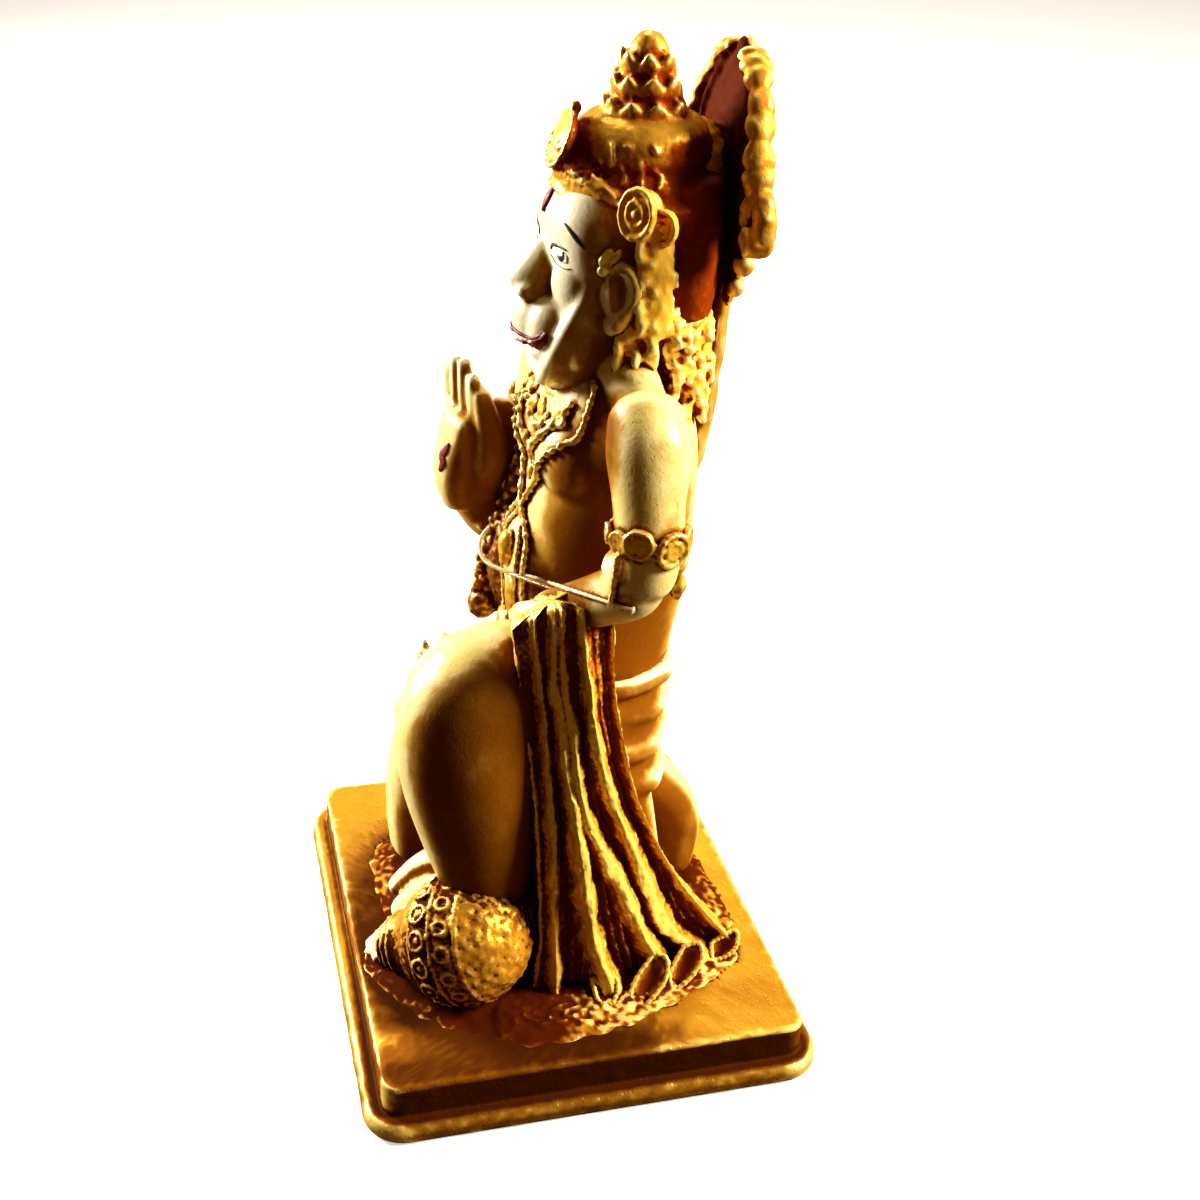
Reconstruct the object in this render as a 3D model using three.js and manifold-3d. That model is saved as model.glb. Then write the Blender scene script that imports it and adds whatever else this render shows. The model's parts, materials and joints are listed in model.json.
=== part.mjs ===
// A cast and painted Hanuman, half kneeling with one hand raised in blessing, on a stepped plinth.
// Millimetres, +Z up. The figure faces -Y, its left side is +X, and the origin is the middle of the
// plinth's underside. The figure is set out as a sculptor does it: in equal parts of its own height,
// counted up from the top of the plinth.

import * as THREE from 'three';
import { mergeVertices } from 'three/addons/utils/BufferGeometryUtils.js';
import ManifoldModule from 'manifold-3d';

const wasm = await ManifoldModule();
wasm.setup();

// Driving dimensions, in millimetres.
const figureHeight = 236;
const plinthLength = 130;
const plinthWidth = 110;
const slabHeight = 9;
const flangeHeight = 5.5;
const flangeWidth = 4.5;
const cornerRadius = 9;
const rimRadius = 2.4;
const threadDiameter = 1.2;
const threadClearance = 0.3;

// How many triangles the joined figure is thinned to.
const figureTriangles = 8600;

// The figure's own scale: one part is a 236th of its height.
const part = figureHeight / 236;
const plinthHeight = flangeHeight + slabHeight;

const ivory = new THREE.MeshStandardMaterial({ color: 0xe9dcb4, roughness: 0.35, metalness: 0 });
const goldPaint = new THREE.MeshStandardMaterial({ color: 0xc68f22, roughness: 0.35, metalness: 0.8 });
const goldThread = new THREE.MeshStandardMaterial({ color: 0xe2b84a, roughness: 0.4, metalness: 0.7 });

// Joining closed shapes

function solidOf(geometry) {
  const bare = new THREE.BufferGeometry();
  bare.setAttribute('position', geometry.getAttribute('position').clone());
  if (geometry.index) bare.setIndex(geometry.index.clone());
  const merged = mergeVertices(bare, 1e-4);
  return new wasm.Manifold(new wasm.Mesh({
    numProp: 3,
    vertProperties: new Float32Array(merged.getAttribute('position').array),
    triVerts: new Uint32Array(merged.index.array),
  }));
}

function geometryOf(solid) {
  const mesh = solid.getMesh();
  const geometry = new THREE.BufferGeometry();
  geometry.setAttribute('position', new THREE.BufferAttribute(new Float32Array(mesh.vertProperties), 3));
  geometry.setIndex(new THREE.BufferAttribute(new Uint32Array(mesh.triVerts), 1));
  geometry.computeVertexNormals();
  return geometry;
}

const joined = (solids) => solids.reduce((whole, piece) => whole.add(piece));

// A closed solid through rings of points with the same count, its two ends closed by fans.
function skin(rings) {
  const count = rings[0].length;
  const points = rings.flat();
  const middles = [rings[0], rings[rings.length - 1]].map((ring) =>
    ring.reduce((sum, point) => sum.add(point), new THREE.Vector3()).divideScalar(count));
  const faces = [];
  for (let level = 0; level + 1 < rings.length; level++) {
    for (let i = 0; i < count; i++) {
      const a = level * count + i;
      const b = level * count + (i + 1) % count;
      faces.push(a, b, a + count, b, b + count, a + count);
    }
  }
  const bottom = points.length;
  const last = (rings.length - 1) * count;
  for (let i = 0; i < count; i++) {
    const next = (i + 1) % count;
    faces.push(bottom, next, i, bottom + 1, last + i, last + next);
  }
  points.push(...middles);
  const volume = triples(faces).reduce((sum, [a, b, c]) =>
    sum + points[a].dot(points[b].clone().cross(points[c])), 0);
  const turned = volume > 0 ? faces : triples(faces).flatMap(([a, b, c]) => [a, c, b]);
  const geometry = new THREE.BufferGeometry().setFromPoints(points);
  geometry.setIndex(turned);
  return solidOf(geometry);
}

function triples(list) {
  return Array.from({ length: list.length / 3 }, (_, i) => list.slice(3 * i, 3 * i + 3));
}

// The mesh of a solid without the crumbs and sealed pockets that joining leaves: its largest shell alone.
function largestShell(solid) {
  const mesh = solid.getMesh();
  const faces = triples(Array.from(mesh.triVerts));
  const root = Array.from({ length: mesh.vertProperties.length / 3 }, (_, i) => i);
  const find = (i) => {
    while (root[i] !== i) {
      root[i] = root[root[i]];
      i = root[i];
    }
    return i;
  };
  for (const [a, b, c] of faces) {
    root[find(a)] = find(b);
    root[find(b)] = find(c);
  }
  const sizes = new Map();
  for (const face of faces) sizes.set(find(face[0]), (sizes.get(find(face[0])) ?? 0) + 1);
  const [largest] = [...sizes].sort((one, other) => other[1] - one[1])[0];
  const points = root.map((_, i) => new THREE.Vector3().fromArray(mesh.vertProperties, 3 * i));
  return { points, faces: faces.filter((face) => find(face[0]) === largest) };
}

// Garland and Heckbert's quadric error: the sum of squared distances to the planes around a point.
class Quadric {
  constructor() {
    this.terms = new Float64Array(10);
  }

  addPlane(normal, offset, weight) {
    const plane = [normal.x, normal.y, normal.z, offset];
    let term = 0;
    for (let i = 0; i < 4; i++) {
      for (let j = i; j < 4; j++) this.terms[term++] += weight * plane[i] * plane[j];
    }
  }

  plus(other) {
    const sum = new Quadric();
    sum.terms.forEach((_, i) => { sum.terms[i] = this.terms[i] + other.terms[i]; });
    return sum;
  }

  errorAt({ x, y, z }) {
    const [xx, xy, xz, xw, yy, yz, yw, zz, zw, ww] = this.terms;
    return xx * x * x + yy * y * y + zz * z * z + ww
      + 2 * (xy * x * y + xz * x * z + yz * y * z + xw * x + yw * y + zw * z);
  }

  // The point of least error, or null where the planes leave it loose.
  best() {
    const [xx, xy, xz, xw, yy, yz, yw, zz, zw] = this.terms;
    const matrix = new THREE.Matrix3().set(xx, xy, xz, xy, yy, yz, xz, yz, zz);
    const trace = xx + yy + zz;
    if (Math.abs(matrix.determinant()) < 1e-3 * trace ** 3) return null;
    return new THREE.Vector3(-xw, -yw, -zw).applyMatrix3(matrix.invert());
  }
}

// Takes edges out of a solid's mesh where its shape changes least, until the count of triangles is met.
function thinned(solid, triangleCount) {
  const { points, faces } = largestShell(solid);
  const around = points.map(() => new Set());
  faces.forEach((face, f) => face.forEach((v) => around[v].add(f)));
  const quadrics = points.map(() => new Quadric());
  const normalOf = (corners) => corners[1].clone().sub(corners[0]).cross(corners[2].clone().sub(corners[0]));
  for (const face of faces) {
    const corners = face.map((v) => points[v]);
    const normal = normalOf(corners);
    const area = normal.length() / 2;
    normal.normalize();
    face.forEach((v) => quadrics[v].addPlane(normal, -normal.dot(corners[0]), area));
  }
  const neighbours = (v) => new Set([...around[v]].flatMap((f) => faces[f]).filter((w) => w !== v));
  const stamp = new Uint32Array(points.length);
  const queue = [];
  const offer = (a, b) => {
    const quadric = quadrics[a].plus(quadrics[b]);
    const middle = points[a].clone().lerp(points[b], 0.5);
    const length = points[a].distanceTo(points[b]);
    const best = quadric.best();
    const choices = [middle, points[a].clone(), points[b].clone()];
    if (best && best.distanceTo(middle) < length) choices.push(best);
    const costs = choices.map((choice) => quadric.errorAt(choice));
    const cost = Math.min(...costs);
    const entry = { a, b, cost: cost + 1e-4 * length ** 2, place: choices[costs.indexOf(cost)],
      stamps: [stamp[a], stamp[b]] };
    queue.push(entry);
    for (let i = queue.length - 1; i > 0;) {
      const parent = (i - 1) >> 1;
      if (queue[parent].cost <= queue[i].cost) break;
      [queue[parent], queue[i]] = [queue[i], queue[parent]];
      i = parent;
    }
  };
  const take = () => {
    const top = queue[0];
    const last = queue.pop();
    if (queue.length) {
      queue[0] = last;
      for (let i = 0; ;) {
        let child = 2 * i + 1;
        if (child >= queue.length) break;
        if (child + 1 < queue.length && queue[child + 1].cost < queue[child].cost) child++;
        if (queue[i].cost <= queue[child].cost) break;
        [queue[i], queue[child]] = [queue[child], queue[i]];
        i = child;
      }
    }
    return top;
  };
  const turnsOver = (v, gone, place) => [...around[v]].some((f) => {
    if (faces[f].includes(gone)) return false;
    const old = normalOf(faces[f].map((w) => points[w]));
    const fresh = normalOf(faces[f].map((w) => (w === v ? place : points[w])));
    return old.dot(fresh) < 0.3 * old.length() * fresh.length() || fresh.length() < 1e-3;
  });
  for (const face of faces) {
    face.forEach((a, k) => {
      const b = face[(k + 1) % 3];
      if (a < b) offer(a, b);
    });
  }
  let count = faces.length;
  while (count > triangleCount && queue.length) {
    const { a, b, place, stamps } = take();
    if (stamp[a] !== stamps[0] || stamp[b] !== stamps[1]) continue;
    const nearB = neighbours(b);
    const shared = [...neighbours(a)].filter((v) => nearB.has(v));
    if (shared.length !== 2 || turnsOver(a, b, place) || turnsOver(b, a, place)) continue;
    points[a] = place;
    quadrics[a] = quadrics[a].plus(quadrics[b]);
    for (const f of around[b]) {
      if (faces[f].includes(a)) {
        faces[f].forEach((v) => v !== b && around[v].delete(f));
        faces[f] = [];
        count--;
      } else {
        faces[f] = faces[f].map((v) => (v === b ? a : v));
        around[a].add(f);
      }
    }
    around[b] = new Set();
    stamp[a]++;
    stamp[b]++;
    for (const v of neighbours(a)) offer(a, v);
  }
  const geometry = new THREE.BufferGeometry().setFromPoints(points);
  geometry.setIndex(faces.flat());
  return solidOf(geometry);
}

// Rows of numbers followed smoothly: t runs from 0 at the first row to 1 at the last.
function along(rows, t) {
  const place = Math.min(Math.max(t, 0), 1) * (rows.length - 1);
  const i = Math.min(Math.floor(place), rows.length - 2);
  const f = place - i;
  const before = rows[Math.max(i - 1, 0)];
  const after = rows[Math.min(i + 2, rows.length - 1)];
  return rows[i].map((value, k) => {
    const next = rows[i + 1][k];
    const slope = next - before[k];
    const nextSlope = after[k] - value;
    return value + f * (slope / 2 + f * (3 * (next - value) - slope - nextSlope / 2
      + f * (2 * (value - next) + (slope + nextSlope) / 2)));
  });
}

// A place on the figure, in parts: X to its left, Y to its back, Z up from the plinth's top.
const spot = (x, y, z) => new THREE.Vector3(x, y, z).multiplyScalar(part)
  .add(new THREE.Vector3(0, 0, plinthHeight));

// A limb through stations of [x, y, z, half width, half depth]; the half depth may be left out.
// The half width lies across both the limb and the direction that it faces.
function limb(stations, { sides = 8, steps = 4, facing = [0, 0, 1], endFill = 0.7, wave = null } = {}) {
  const rows = stations.map((row) => [row[0], row[1], row[2], row[3], row[4] ?? row[3]]);
  const front = new THREE.Vector3(...facing);
  const section = (centre, direction, wide, deep) => {
    const side = direction.clone().cross(front).normalize();
    const up = side.clone().cross(direction).normalize();
    return Array.from({ length: sides }, (_, i) => {
      const angle = 2 * Math.PI * (i + 0.5) / sides;
      return centre.clone()
        .addScaledVector(side, wide * part * Math.cos(angle))
        .addScaledVector(up, deep * part * Math.sin(angle));
    });
  };
  const centreAt = (t) => spot(...along(rows, t).slice(0, 3));
  const directionAt = (t) => centreAt(Math.min(t + 0.02, 1)).sub(centreAt(Math.max(t - 0.02, 0))).normalize();
  const rings = [];
  for (let step = 0; step <= steps; step++) {
    const t = step / steps;
    const row = along(rows, t);
    const swell = wave ? wave(step) : 1;
    rings.push(section(centreAt(t), directionAt(t), row[3] * swell, row[4] * swell));
  }
  if (endFill > 0) {
    for (const t of [0, 1]) {
      const row = along(rows, t);
      const out = directionAt(t).multiplyScalar(t ? 1 : -1);
      const centre = centreAt(t).addScaledVector(out, Math.min(row[3], row[4]) * endFill * part);
      const ring = section(centre, directionAt(t), row[3] * 0.62, row[4] * 0.62);
      if (t) rings.push(ring);
      else rings.unshift(ring);
    }
  }
  return skin(rings);
}

// An egg of three half sizes, in parts, turned by degrees about X, Y and Z.
function egg(centre, radii, turn = [0, 0, 0], sides = 7) {
  const shape = new THREE.SphereGeometry(1, sides, Math.max(3, Math.round(sides * 0.55)));
  const angles = turn.map((value) => THREE.MathUtils.degToRad(value));
  shape.applyMatrix4(new THREE.Matrix4().compose(spot(...centre),
    new THREE.Quaternion().setFromEuler(new THREE.Euler(...angles)),
    new THREE.Vector3(...radii).multiplyScalar(part)));
  return solidOf(shape);
}

// A turned shape: its profile is [radius, height] pairs in parts, along the direction it points in.
function turning(profile, centre, pointing = [0, 0, 1], sides = 14) {
  const shape = new THREE.LatheGeometry(profile.map(([r, h]) => new THREE.Vector2(r * part, h * part)), sides);
  const turn = new THREE.Quaternion().setFromUnitVectors(new THREE.Vector3(0, 1, 0),
    new THREE.Vector3(...pointing).normalize());
  shape.applyQuaternion(turn);
  shape.translate(...spot(...centre).toArray());
  return solidOf(shape);
}

// A round boss with a raised rim and a raised middle.
const boss = (centre, pointing, radius, thick, sides = 8) => turning([
  [0, -thick], [radius, -thick], [radius, thick], [radius * 0.62, thick * 0.35], [0, thick * 1.2]],
centre, pointing, sides);

// A string of beads that follows a few points: two rings to each bead.
const beads = (points, radius, count, sides = 4) => limb(points.map((point) => [...point, radius]),
  { sides, steps: 2 * count, endFill: 0.5, wave: (step) => (step % 2 ? 1.15 : 0.62) });

// Trunk: [height, middle, half width, reach to the front, reach to the back]
const trunkRows = [
  [54, 6, 20, 20, 20],
  [68, 8, 25, 22, 20],
  [84, 9.5, 24, 20, 20.5],
  [98, 10, 23, 22, 23],
  [112, 11, 24, 21.5, 23.5],
  [126, 12, 26, 19.5, 22.5],
  [138, 13, 29, 18.5, 21],
  [150, 13, 31, 16.5, 18.5],
  [162, 12, 18, 12, 12],
];

function trunkRow(height) {
  const last = trunkRows.length - 1;
  const above = Math.min(Math.max(trunkRows.findIndex((row) => row[0] >= height), 1), last);
  const [low, high] = [trunkRows[above - 1], trunkRows[above]];
  const f = Math.min(Math.max((height - low[0]) / (high[0] - low[0]), 0), 1);
  return low.map((value, k) => value + f * (high[k] - value));
}

// A point on the trunk's surface: the angle is 0 at the front and 90 degrees at the figure's left.
function onTrunk(degrees, height, lift = 0) {
  const [, middle, half, front, back] = trunkRow(height);
  const angle = THREE.MathUtils.degToRad(degrees);
  const reach = Math.cos(angle) > 0 ? front : back;
  return [(half + lift) * Math.sin(angle), middle - (reach + lift) * Math.cos(angle), height];
}

function roundOf(rows, sides) {
  return skin(rows.map(([height, middle, half, front, back]) => Array.from({ length: sides }, (_, i) => {
    const angle = 2 * Math.PI * i / sides;
    const reach = Math.cos(angle) > 0 ? front : back;
    return spot(half * Math.sin(angle), middle - reach * Math.cos(angle), height);
  })));
}

const trunk = () => [
  roundOf(trunkRows, 18),
  limb([[0, 12, 152, 13], [0, 11, 172, 13]], { facing: [0, -1, 0], sides: 10, steps: 1, endFill: 0 }),
];

// Arms, with the shoulders

const leftArm = () => [
  limb([[31, 13, 157, 9.5], [36, 12, 151, 11], [39, 11, 141, 10], [40.5, 11, 132, 9.4], [40.5, 10, 124, 8]],
    { facing: [0, -1, 0], sides: 9, steps: 5 }),
  limb([[38.5, 9, 122, 7], [32, 3, 113, 6], [24, -6, 106, 5.5]], { sides: 8, steps: 2 }),
];

const rightArm = () => [
  limb([[-31, 13, 157, 9.5], [-37, 11, 150, 11], [-41, 8, 137, 9.5], [-41, 5, 122, 8.5], [-39, 2, 108, 7.8]],
    { facing: [0, -1, 0], sides: 9, steps: 5 }),
  limb([[-39, 3, 107, 8], [-35, -7, 104, 8], [-30.5, -16.5, 114, 6.8, 5.5]], { sides: 8, steps: 3 }),
  ...blessingHand(),
];

// The raised right hand faces forward; casting has left a web between the thumb and the shoulder.
function blessingHand() {
  const palm = limb([[-30.5, -17, 112, 7, 6.2], [-30.5, -18.8, 121, 9.5, 6.6], [-30.5, -18.4, 136, 10.2, 3.8]],
    { facing: [0, -1, 0], steps: 3, endFill: 0.4 });
  const fingers = [[-38.2, 12], [-33.2, 15], [-28.2, 16], [-23.4, 13.5]].map(([x, length]) =>
    limb([[x, -18, 134, 2.7], [x, -19.3, 134 + length, 2.1]],
      { facing: [0, -1, 0], sides: 6, steps: 1, endFill: 0.8 }));
  const thumb = limb([[-26, -14, 118, 5], [-21.5, -12, 128, 4.4], [-21, -13, 137, 3.4], [-21.5, -14.5, 144, 2.4]],
    { facing: [0, -1, 0], sides: 6, steps: 3 });
  const web = limb([[-27, -12, 122, 4.5, 19], [-30, -4, 121, 4.5, 17.5], [-34, 3, 124, 5, 15]],
    { facing: [0, 0, 1], sides: 8, steps: 2, endFill: 0.3 });
  return [palm, ...fingers, thumb, web];
}

// Head: a monkey's muzzle, brow, ears and a raised ruff along the jaw

const headRows = [
  [154, 8, 8, 9, 8],
  [160, 8, 13.5, 13, 12],
  [168, 9.5, 17.5, 14.5, 15],
  [178, 10, 20, 14.7, 17],
  [190, 10, 21, 14, 19],
  [200, 11.5, 20, 15, 19],
  [208, 13, 19, 15.5, 18],
];

const head = () => [
  roundOf(headRows, 18),
  egg([0, -2.5, 173.5], [12.5, 9, 9.5], [0, 0, 0], 12),
  egg([0, 0.5, 160.5], [9.5, 7, 6.2], [0, 0, 0], 8),
  limb([[0, -3, 199, 2.8, 2], [0, -5.5, 191, 3.2, 2.8], [0, -9, 184.5, 4.4, 3.4], [0, -10, 180.5, 5, 2.6]],
    { facing: [0, -1, 0], sides: 6, steps: 3, endFill: 0.3 }),
  limb([[-9, -6.5, 170, 1.6], [0, -10, 167, 2], [9, -6.5, 170, 1.6]], { sides: 5, steps: 3 }),
  limb([[-7.5, -6, 166.5, 1.4], [0, -8.2, 163.6, 1.9], [7.5, -6, 166.5, 1.4]], { sides: 5, steps: 3 }),
  ...[1, -1].flatMap((side) => [
    egg([side * 13, 0, 182], [6.5, 4, 7.5], [0, 0, side * 30], 7),
    limb([[side * 3, -2.6, 197.5, 1.8], [side * 11, -1.4, 198.5, 2], [side * 18, 2.5, 194, 1.6]],
      { sides: 5, steps: 2 }),
    limb([[side * 17, 1, 184, 2.2], [side * 15.5, -1, 174, 2.4], [side * 11, -3.8, 164, 2.4], [side * 4, -6, 158.5, 2]],
      { facing: [0, -1, 0], sides: 5, steps: 4 }),
    egg([side * 22, 8, 183], [3.2, 6, 9], [8, 0, side * -20], 7),
    egg([side * 22, 9, 171], [3.2, 3.2, 4.5], [0, 0, 0], 6),
  ]),
];

// Crown: a band that dips to the ears, a body with a roll on top, a tiered spire and bosses

const crownMiddle = 17.5;
const bandReach = 19.6;

// The band's edge is highest over the brow and level from the ears back.
const bandDrop = (angle) => 4.5 * (1 - Math.cos(Math.min(2 * Math.abs(angle), Math.PI)));

function crown() {
  const bandRing = (radius, height) => Array.from({ length: 18 }, (_, i) => {
    const angle = Math.PI * (i / 9 - 1);
    return spot(radius * Math.sin(angle), crownMiddle - radius * Math.cos(angle), height - bandDrop(angle));
  });
  const band = skin([bandRing(bandReach - 1.6, 201.5), bandRing(bandReach, 203), bandRing(bandReach, 210),
    bandRing(bandReach - 2, 211.5)]);
  const body = turning([[0, 198], [18, 198], [17.4, 206], [14.6, 213], [13, 217], [0, 217]],
    [0, crownMiddle, 0], [0, 0, 1], 16);
  const roll = turning([[0, 214.5], [11.6, 214.5], [12.9, 216.5], [11.8, 218.4], [0, 218.6]],
    [0, crownMiddle + 0.8, 0], [0, 0, 1], 16);
  const spire = turning([[0, 217], [9.8, 217], [9.7, 219.8], [8.4, 221.5], [8.3, 224.4], [6.6, 226], [6.6, 228.6],
    [5.1, 230.2], [4.8, 232.6], [2.6, 235.2], [0, 236]], [0, crownMiddle + 1, 0], [0, 0, 1], 10);
  const petals = [[219, 8.8, 8], [224, 7.2, 7], [229, 5.3, 6]].flatMap(([height, radius, count]) =>
    Array.from({ length: count }, (_, i) => {
      const angle = 2 * Math.PI * (i + 0.5) / count;
      return egg([radius * Math.sin(angle), crownMiddle + 1 - radius * Math.cos(angle), height], [1.6, 1.6, 2.2],
        [0, 0, 0], 4);
    }));
  const bandBosses = Array.from({ length: 7 }, (_, i) => {
    const angle = THREE.MathUtils.degToRad(-96 + 32 * i);
    const out = [Math.sin(angle), -Math.cos(angle), 0];
    return boss([bandReach * out[0], crownMiddle + bandReach * out[1], 206.6 - bandDrop(angle)], out, 2.9, 1, 6);
  });
  const frontDisc = boss([0, -1.6, 212.5], [0, -0.9, 0.42], 7.2, 1.4, 12);
  const frontStem = limb([[0, 0.5, 210, 4], [0, 7, 210, 6]], { sides: 6, steps: 1, endFill: 0 });
  const besideEars = [1, -1].flatMap((side) => [
    boss([side * 23.5, 7.5, 203], [side * 0.85, -0.5, 0.25], 5.4, 1.6, 9),
    boss([side * 22.5, 15, 200.5], [side * 0.95, -0.3, 0.1], 3.6, 1.4, 8),
    egg([side * 20.5, 10.5, 203], [3.6, 6, 4.5]),
    limb([[side * 21.5, 14.5, 199, 2.4, 4], [side * 20.5, 14.5, 177, 2.6, 5]],
      { facing: [side, 0, 0], sides: 6, steps: 2 }),
  ]);
  return [band, body, roll, spire, ...petals, ...bandBosses, frontDisc, frontStem, ...besideEars];
}

// Halo: a pointed plate behind the crown with a lobed roll along its edge and a scroll at each side

const haloMiddle = 38.2;
const haloThickness = 3.6;

// The plate leans back above the band.
const haloPlane = (height) => haloMiddle + 0.16 * Math.max(height - 214, 0);

// Half width of the plate at each height.
const haloRows = [[9, 174], [13.5, 184], [18.5, 192], [21.5, 200], [22.6, 208], [21, 215], [17.2, 222], [11, 228],
  [5, 231.2]];

function halo() {
  const right = haloRows.map(([x, z]) => new THREE.Vector2(x, z));
  const left = right.map((point) => new THREE.Vector2(-point.x, point.y)).reverse();
  const ring = (back) => [...right, ...left].map((point) => spot(point.x, haloPlane(point.y) + back, point.y));
  const plate = skin([ring(-haloThickness / 2), ring(haloThickness / 2)]);
  const lobes = [-1, 1].flatMap((side) => Array.from({ length: 8 }, (_, i) => {
    const [x, z] = along(haloRows, 0.42 + 0.57 * i / 7);
    return egg([side * (x + 0.6), haloPlane(z), z], [2.7, 2.7, 2.7], [0, 0, 0], 6);
  }));
  const top = egg([0, haloPlane(231), 231], [3, 2.8, 3], [0, 0, 0], 6);
  const scrolls = [-1, 1].flatMap((side) => [
    turning([[0, -3.4], [3, -3.4], [3.6, 0], [3, 3.4], [0, 3.8]], [side * 25, haloMiddle - 0.6, 195.5], [0, -1, 0], 9),
    limb([[side * 22, haloMiddle, 205, 2.6, 2.8], [side * 26.6, haloMiddle, 203, 2.8, 2.8],
      [side * 28, haloMiddle, 197, 2.6, 2.8]], { facing: [0, -1, 0], sides: 6, steps: 3 }),
    egg([side * 16.5, haloMiddle, 187.5], [2.8, 2.6, 2.8], [0, 0, 0], 6),
    egg([side * 12, haloMiddle, 181], [2.6, 2.4, 2.6], [0, 0, 0], 6),
  ]);
  const bridge = egg([0, 30, 204], [12, 10, 13], [0, 0, 0], 9);
  return [plate, ...lobes, top, ...scrolls, bridge];
}

// The tail leaves the back between the shoulder blades' foot and the waist, and carries the halo
const tail = () => [
  limb([[0, 26, 116, 7.5, 5], [0, 31, 129, 7, 4.2], [0, 34.8, 143, 6.6, 3.6], [0, 36.8, 162, 6.6, 3.4],
    [0, 38, 184, 8, 3]], { facing: [0, 1, 0], sides: 8, steps: 6 }),
];

// Locks and leaves gathered behind the neck and over the left shoulder
function hair() {
  const mass = limb([[0, 24, 150, 18, 8], [0, 25, 164, 20, 9], [0, 25, 192, 18, 10]],
    { facing: [0, 1, 0], steps: 3 });
  const rows = [[185, 7, 20], [177.5, 7, 21.5], [170, 7, 22.5], [162.5, 7, 22.5], [155.5, 6, 21]];
  const locks = rows.flatMap(([height, count, wide], row) => Array.from({ length: count }, (_, i) => {
    const angle = THREE.MathUtils.degToRad(-84 + 168 * (i + (row % 2) * 0.4) / (count - 0.6));
    return egg([(wide - 2.5) * Math.sin(angle), 20 + 12.5 * Math.cos(angle), height], [4.4, 3.8, 4.4],
      [20, 0, THREE.MathUtils.radToDeg(angle)], 5);
  }));
  return [mass, ...locks];
}

// Legs: the left knee is raised, the right knee and toes are on the ground

const leftLeg = () => [
  limb([[16, -10, 84, 14, 14], [19, -20, 84, 16, 16], [21, -25, 76, 16.5, 18.5], [22, -25, 62, 16.5, 18],
    [22.5, -23.5, 46, 15, 15.5], [23, -22, 30, 12.5, 12], [23, -22, 18, 9, 9.5]],
  { facing: [0, -1, 0], sides: 12, steps: 8 }),
  limb([[14, 6, 72, 15], [19, -18, 78, 14]], { sides: 8, steps: 1 }),
  limb([[20, -18, 5, 6.5, 5], [20, -32, 6, 7.5, 5.5], [20, -45, 4, 6.5, 3.5]], { sides: 7, steps: 2 }),
];

const rightLeg = () => [
  limb([[-13, 8, 66, 17], [-18, -10, 58, 17], [-22, -24, 38, 15.5], [-24, -28.5, 18, 12.5], [-24, -29, 7, 11]],
    { sides: 10, steps: 6, endFill: 0.5 }),
  limb([[-24, -26, 9, 10], [-13, 12, 11, 10], [-5, 36, 9, 7]], { sides: 8, steps: 3 }),
  limb([[-18, -6, 26, 13], [-12, 12, 27, 13], [-7, 28, 20, 9]], { sides: 8, steps: 2 }),
  limb([[-5, 26, 37, 9, 8], [-5, 35, 28, 8.5, 7], [-5, 39, 18, 8, 6.5], [-5, 38, 6, 8, 6]],
    { facing: [0, 1, 0], sides: 8, steps: 3 }),
];

// Dhoti: the cloth over the hips, with a rolled upper edge and folds that fall to the calf
const dhoti = () => [
  limb([[0, 9, 50, 27, 19], [0, 9.5, 76, 26.5, 19.5]], { facing: [0, -1, 0], sides: 12, steps: 2 }),
  limb([[27, 2, 84, 2.4], [24.5, 15, 83, 2.6], [13, 27, 82, 2.8], [-13, 27, 82, 2.8], [-24.5, 15, 83, 2.6],
    [-27, 2, 84, 2.4]], { sides: 5, steps: 9 }),
  limb([[27, 6, 76, 2.6], [20, 20, 73, 3.4], [8, 27.5, 72, 3.2]], { sides: 5, steps: 3 }),
  limb([[29, 8, 66, 2.6], [22, 19, 63, 3.6], [10, 26.5, 65, 3.2]], { sides: 5, steps: 3 }),
  limb([[15, 11, 56, 14, 11], [12, 16, 24, 13, 12], [10, 18, 5, 13, 12]],
    { facing: [0, 1, 0], sides: 9, steps: 3 }),
  ...[[[18, -24, 24], [9, -33, 17], [4, -41, 6]], [[14, -26, 30], [3, -34, 20], [-5, -40, 7]],
    [[24, -28, 22], [16, -38, 14], [12, -45, 5]]].map((places) =>
    limb(places.map((place) => [...place, 4.4, 3.4]), { sides: 6, steps: 3 })),
];

// Shawl: it hangs from the left forearm to the ground in pleats that sweep to the back

// How far along the cloth each pleat's crest lies, from the front edge to the back one.
const pleatCrests = [0.02, 0.2, 0.41, 0.6, 0.79, 0.98];

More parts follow.
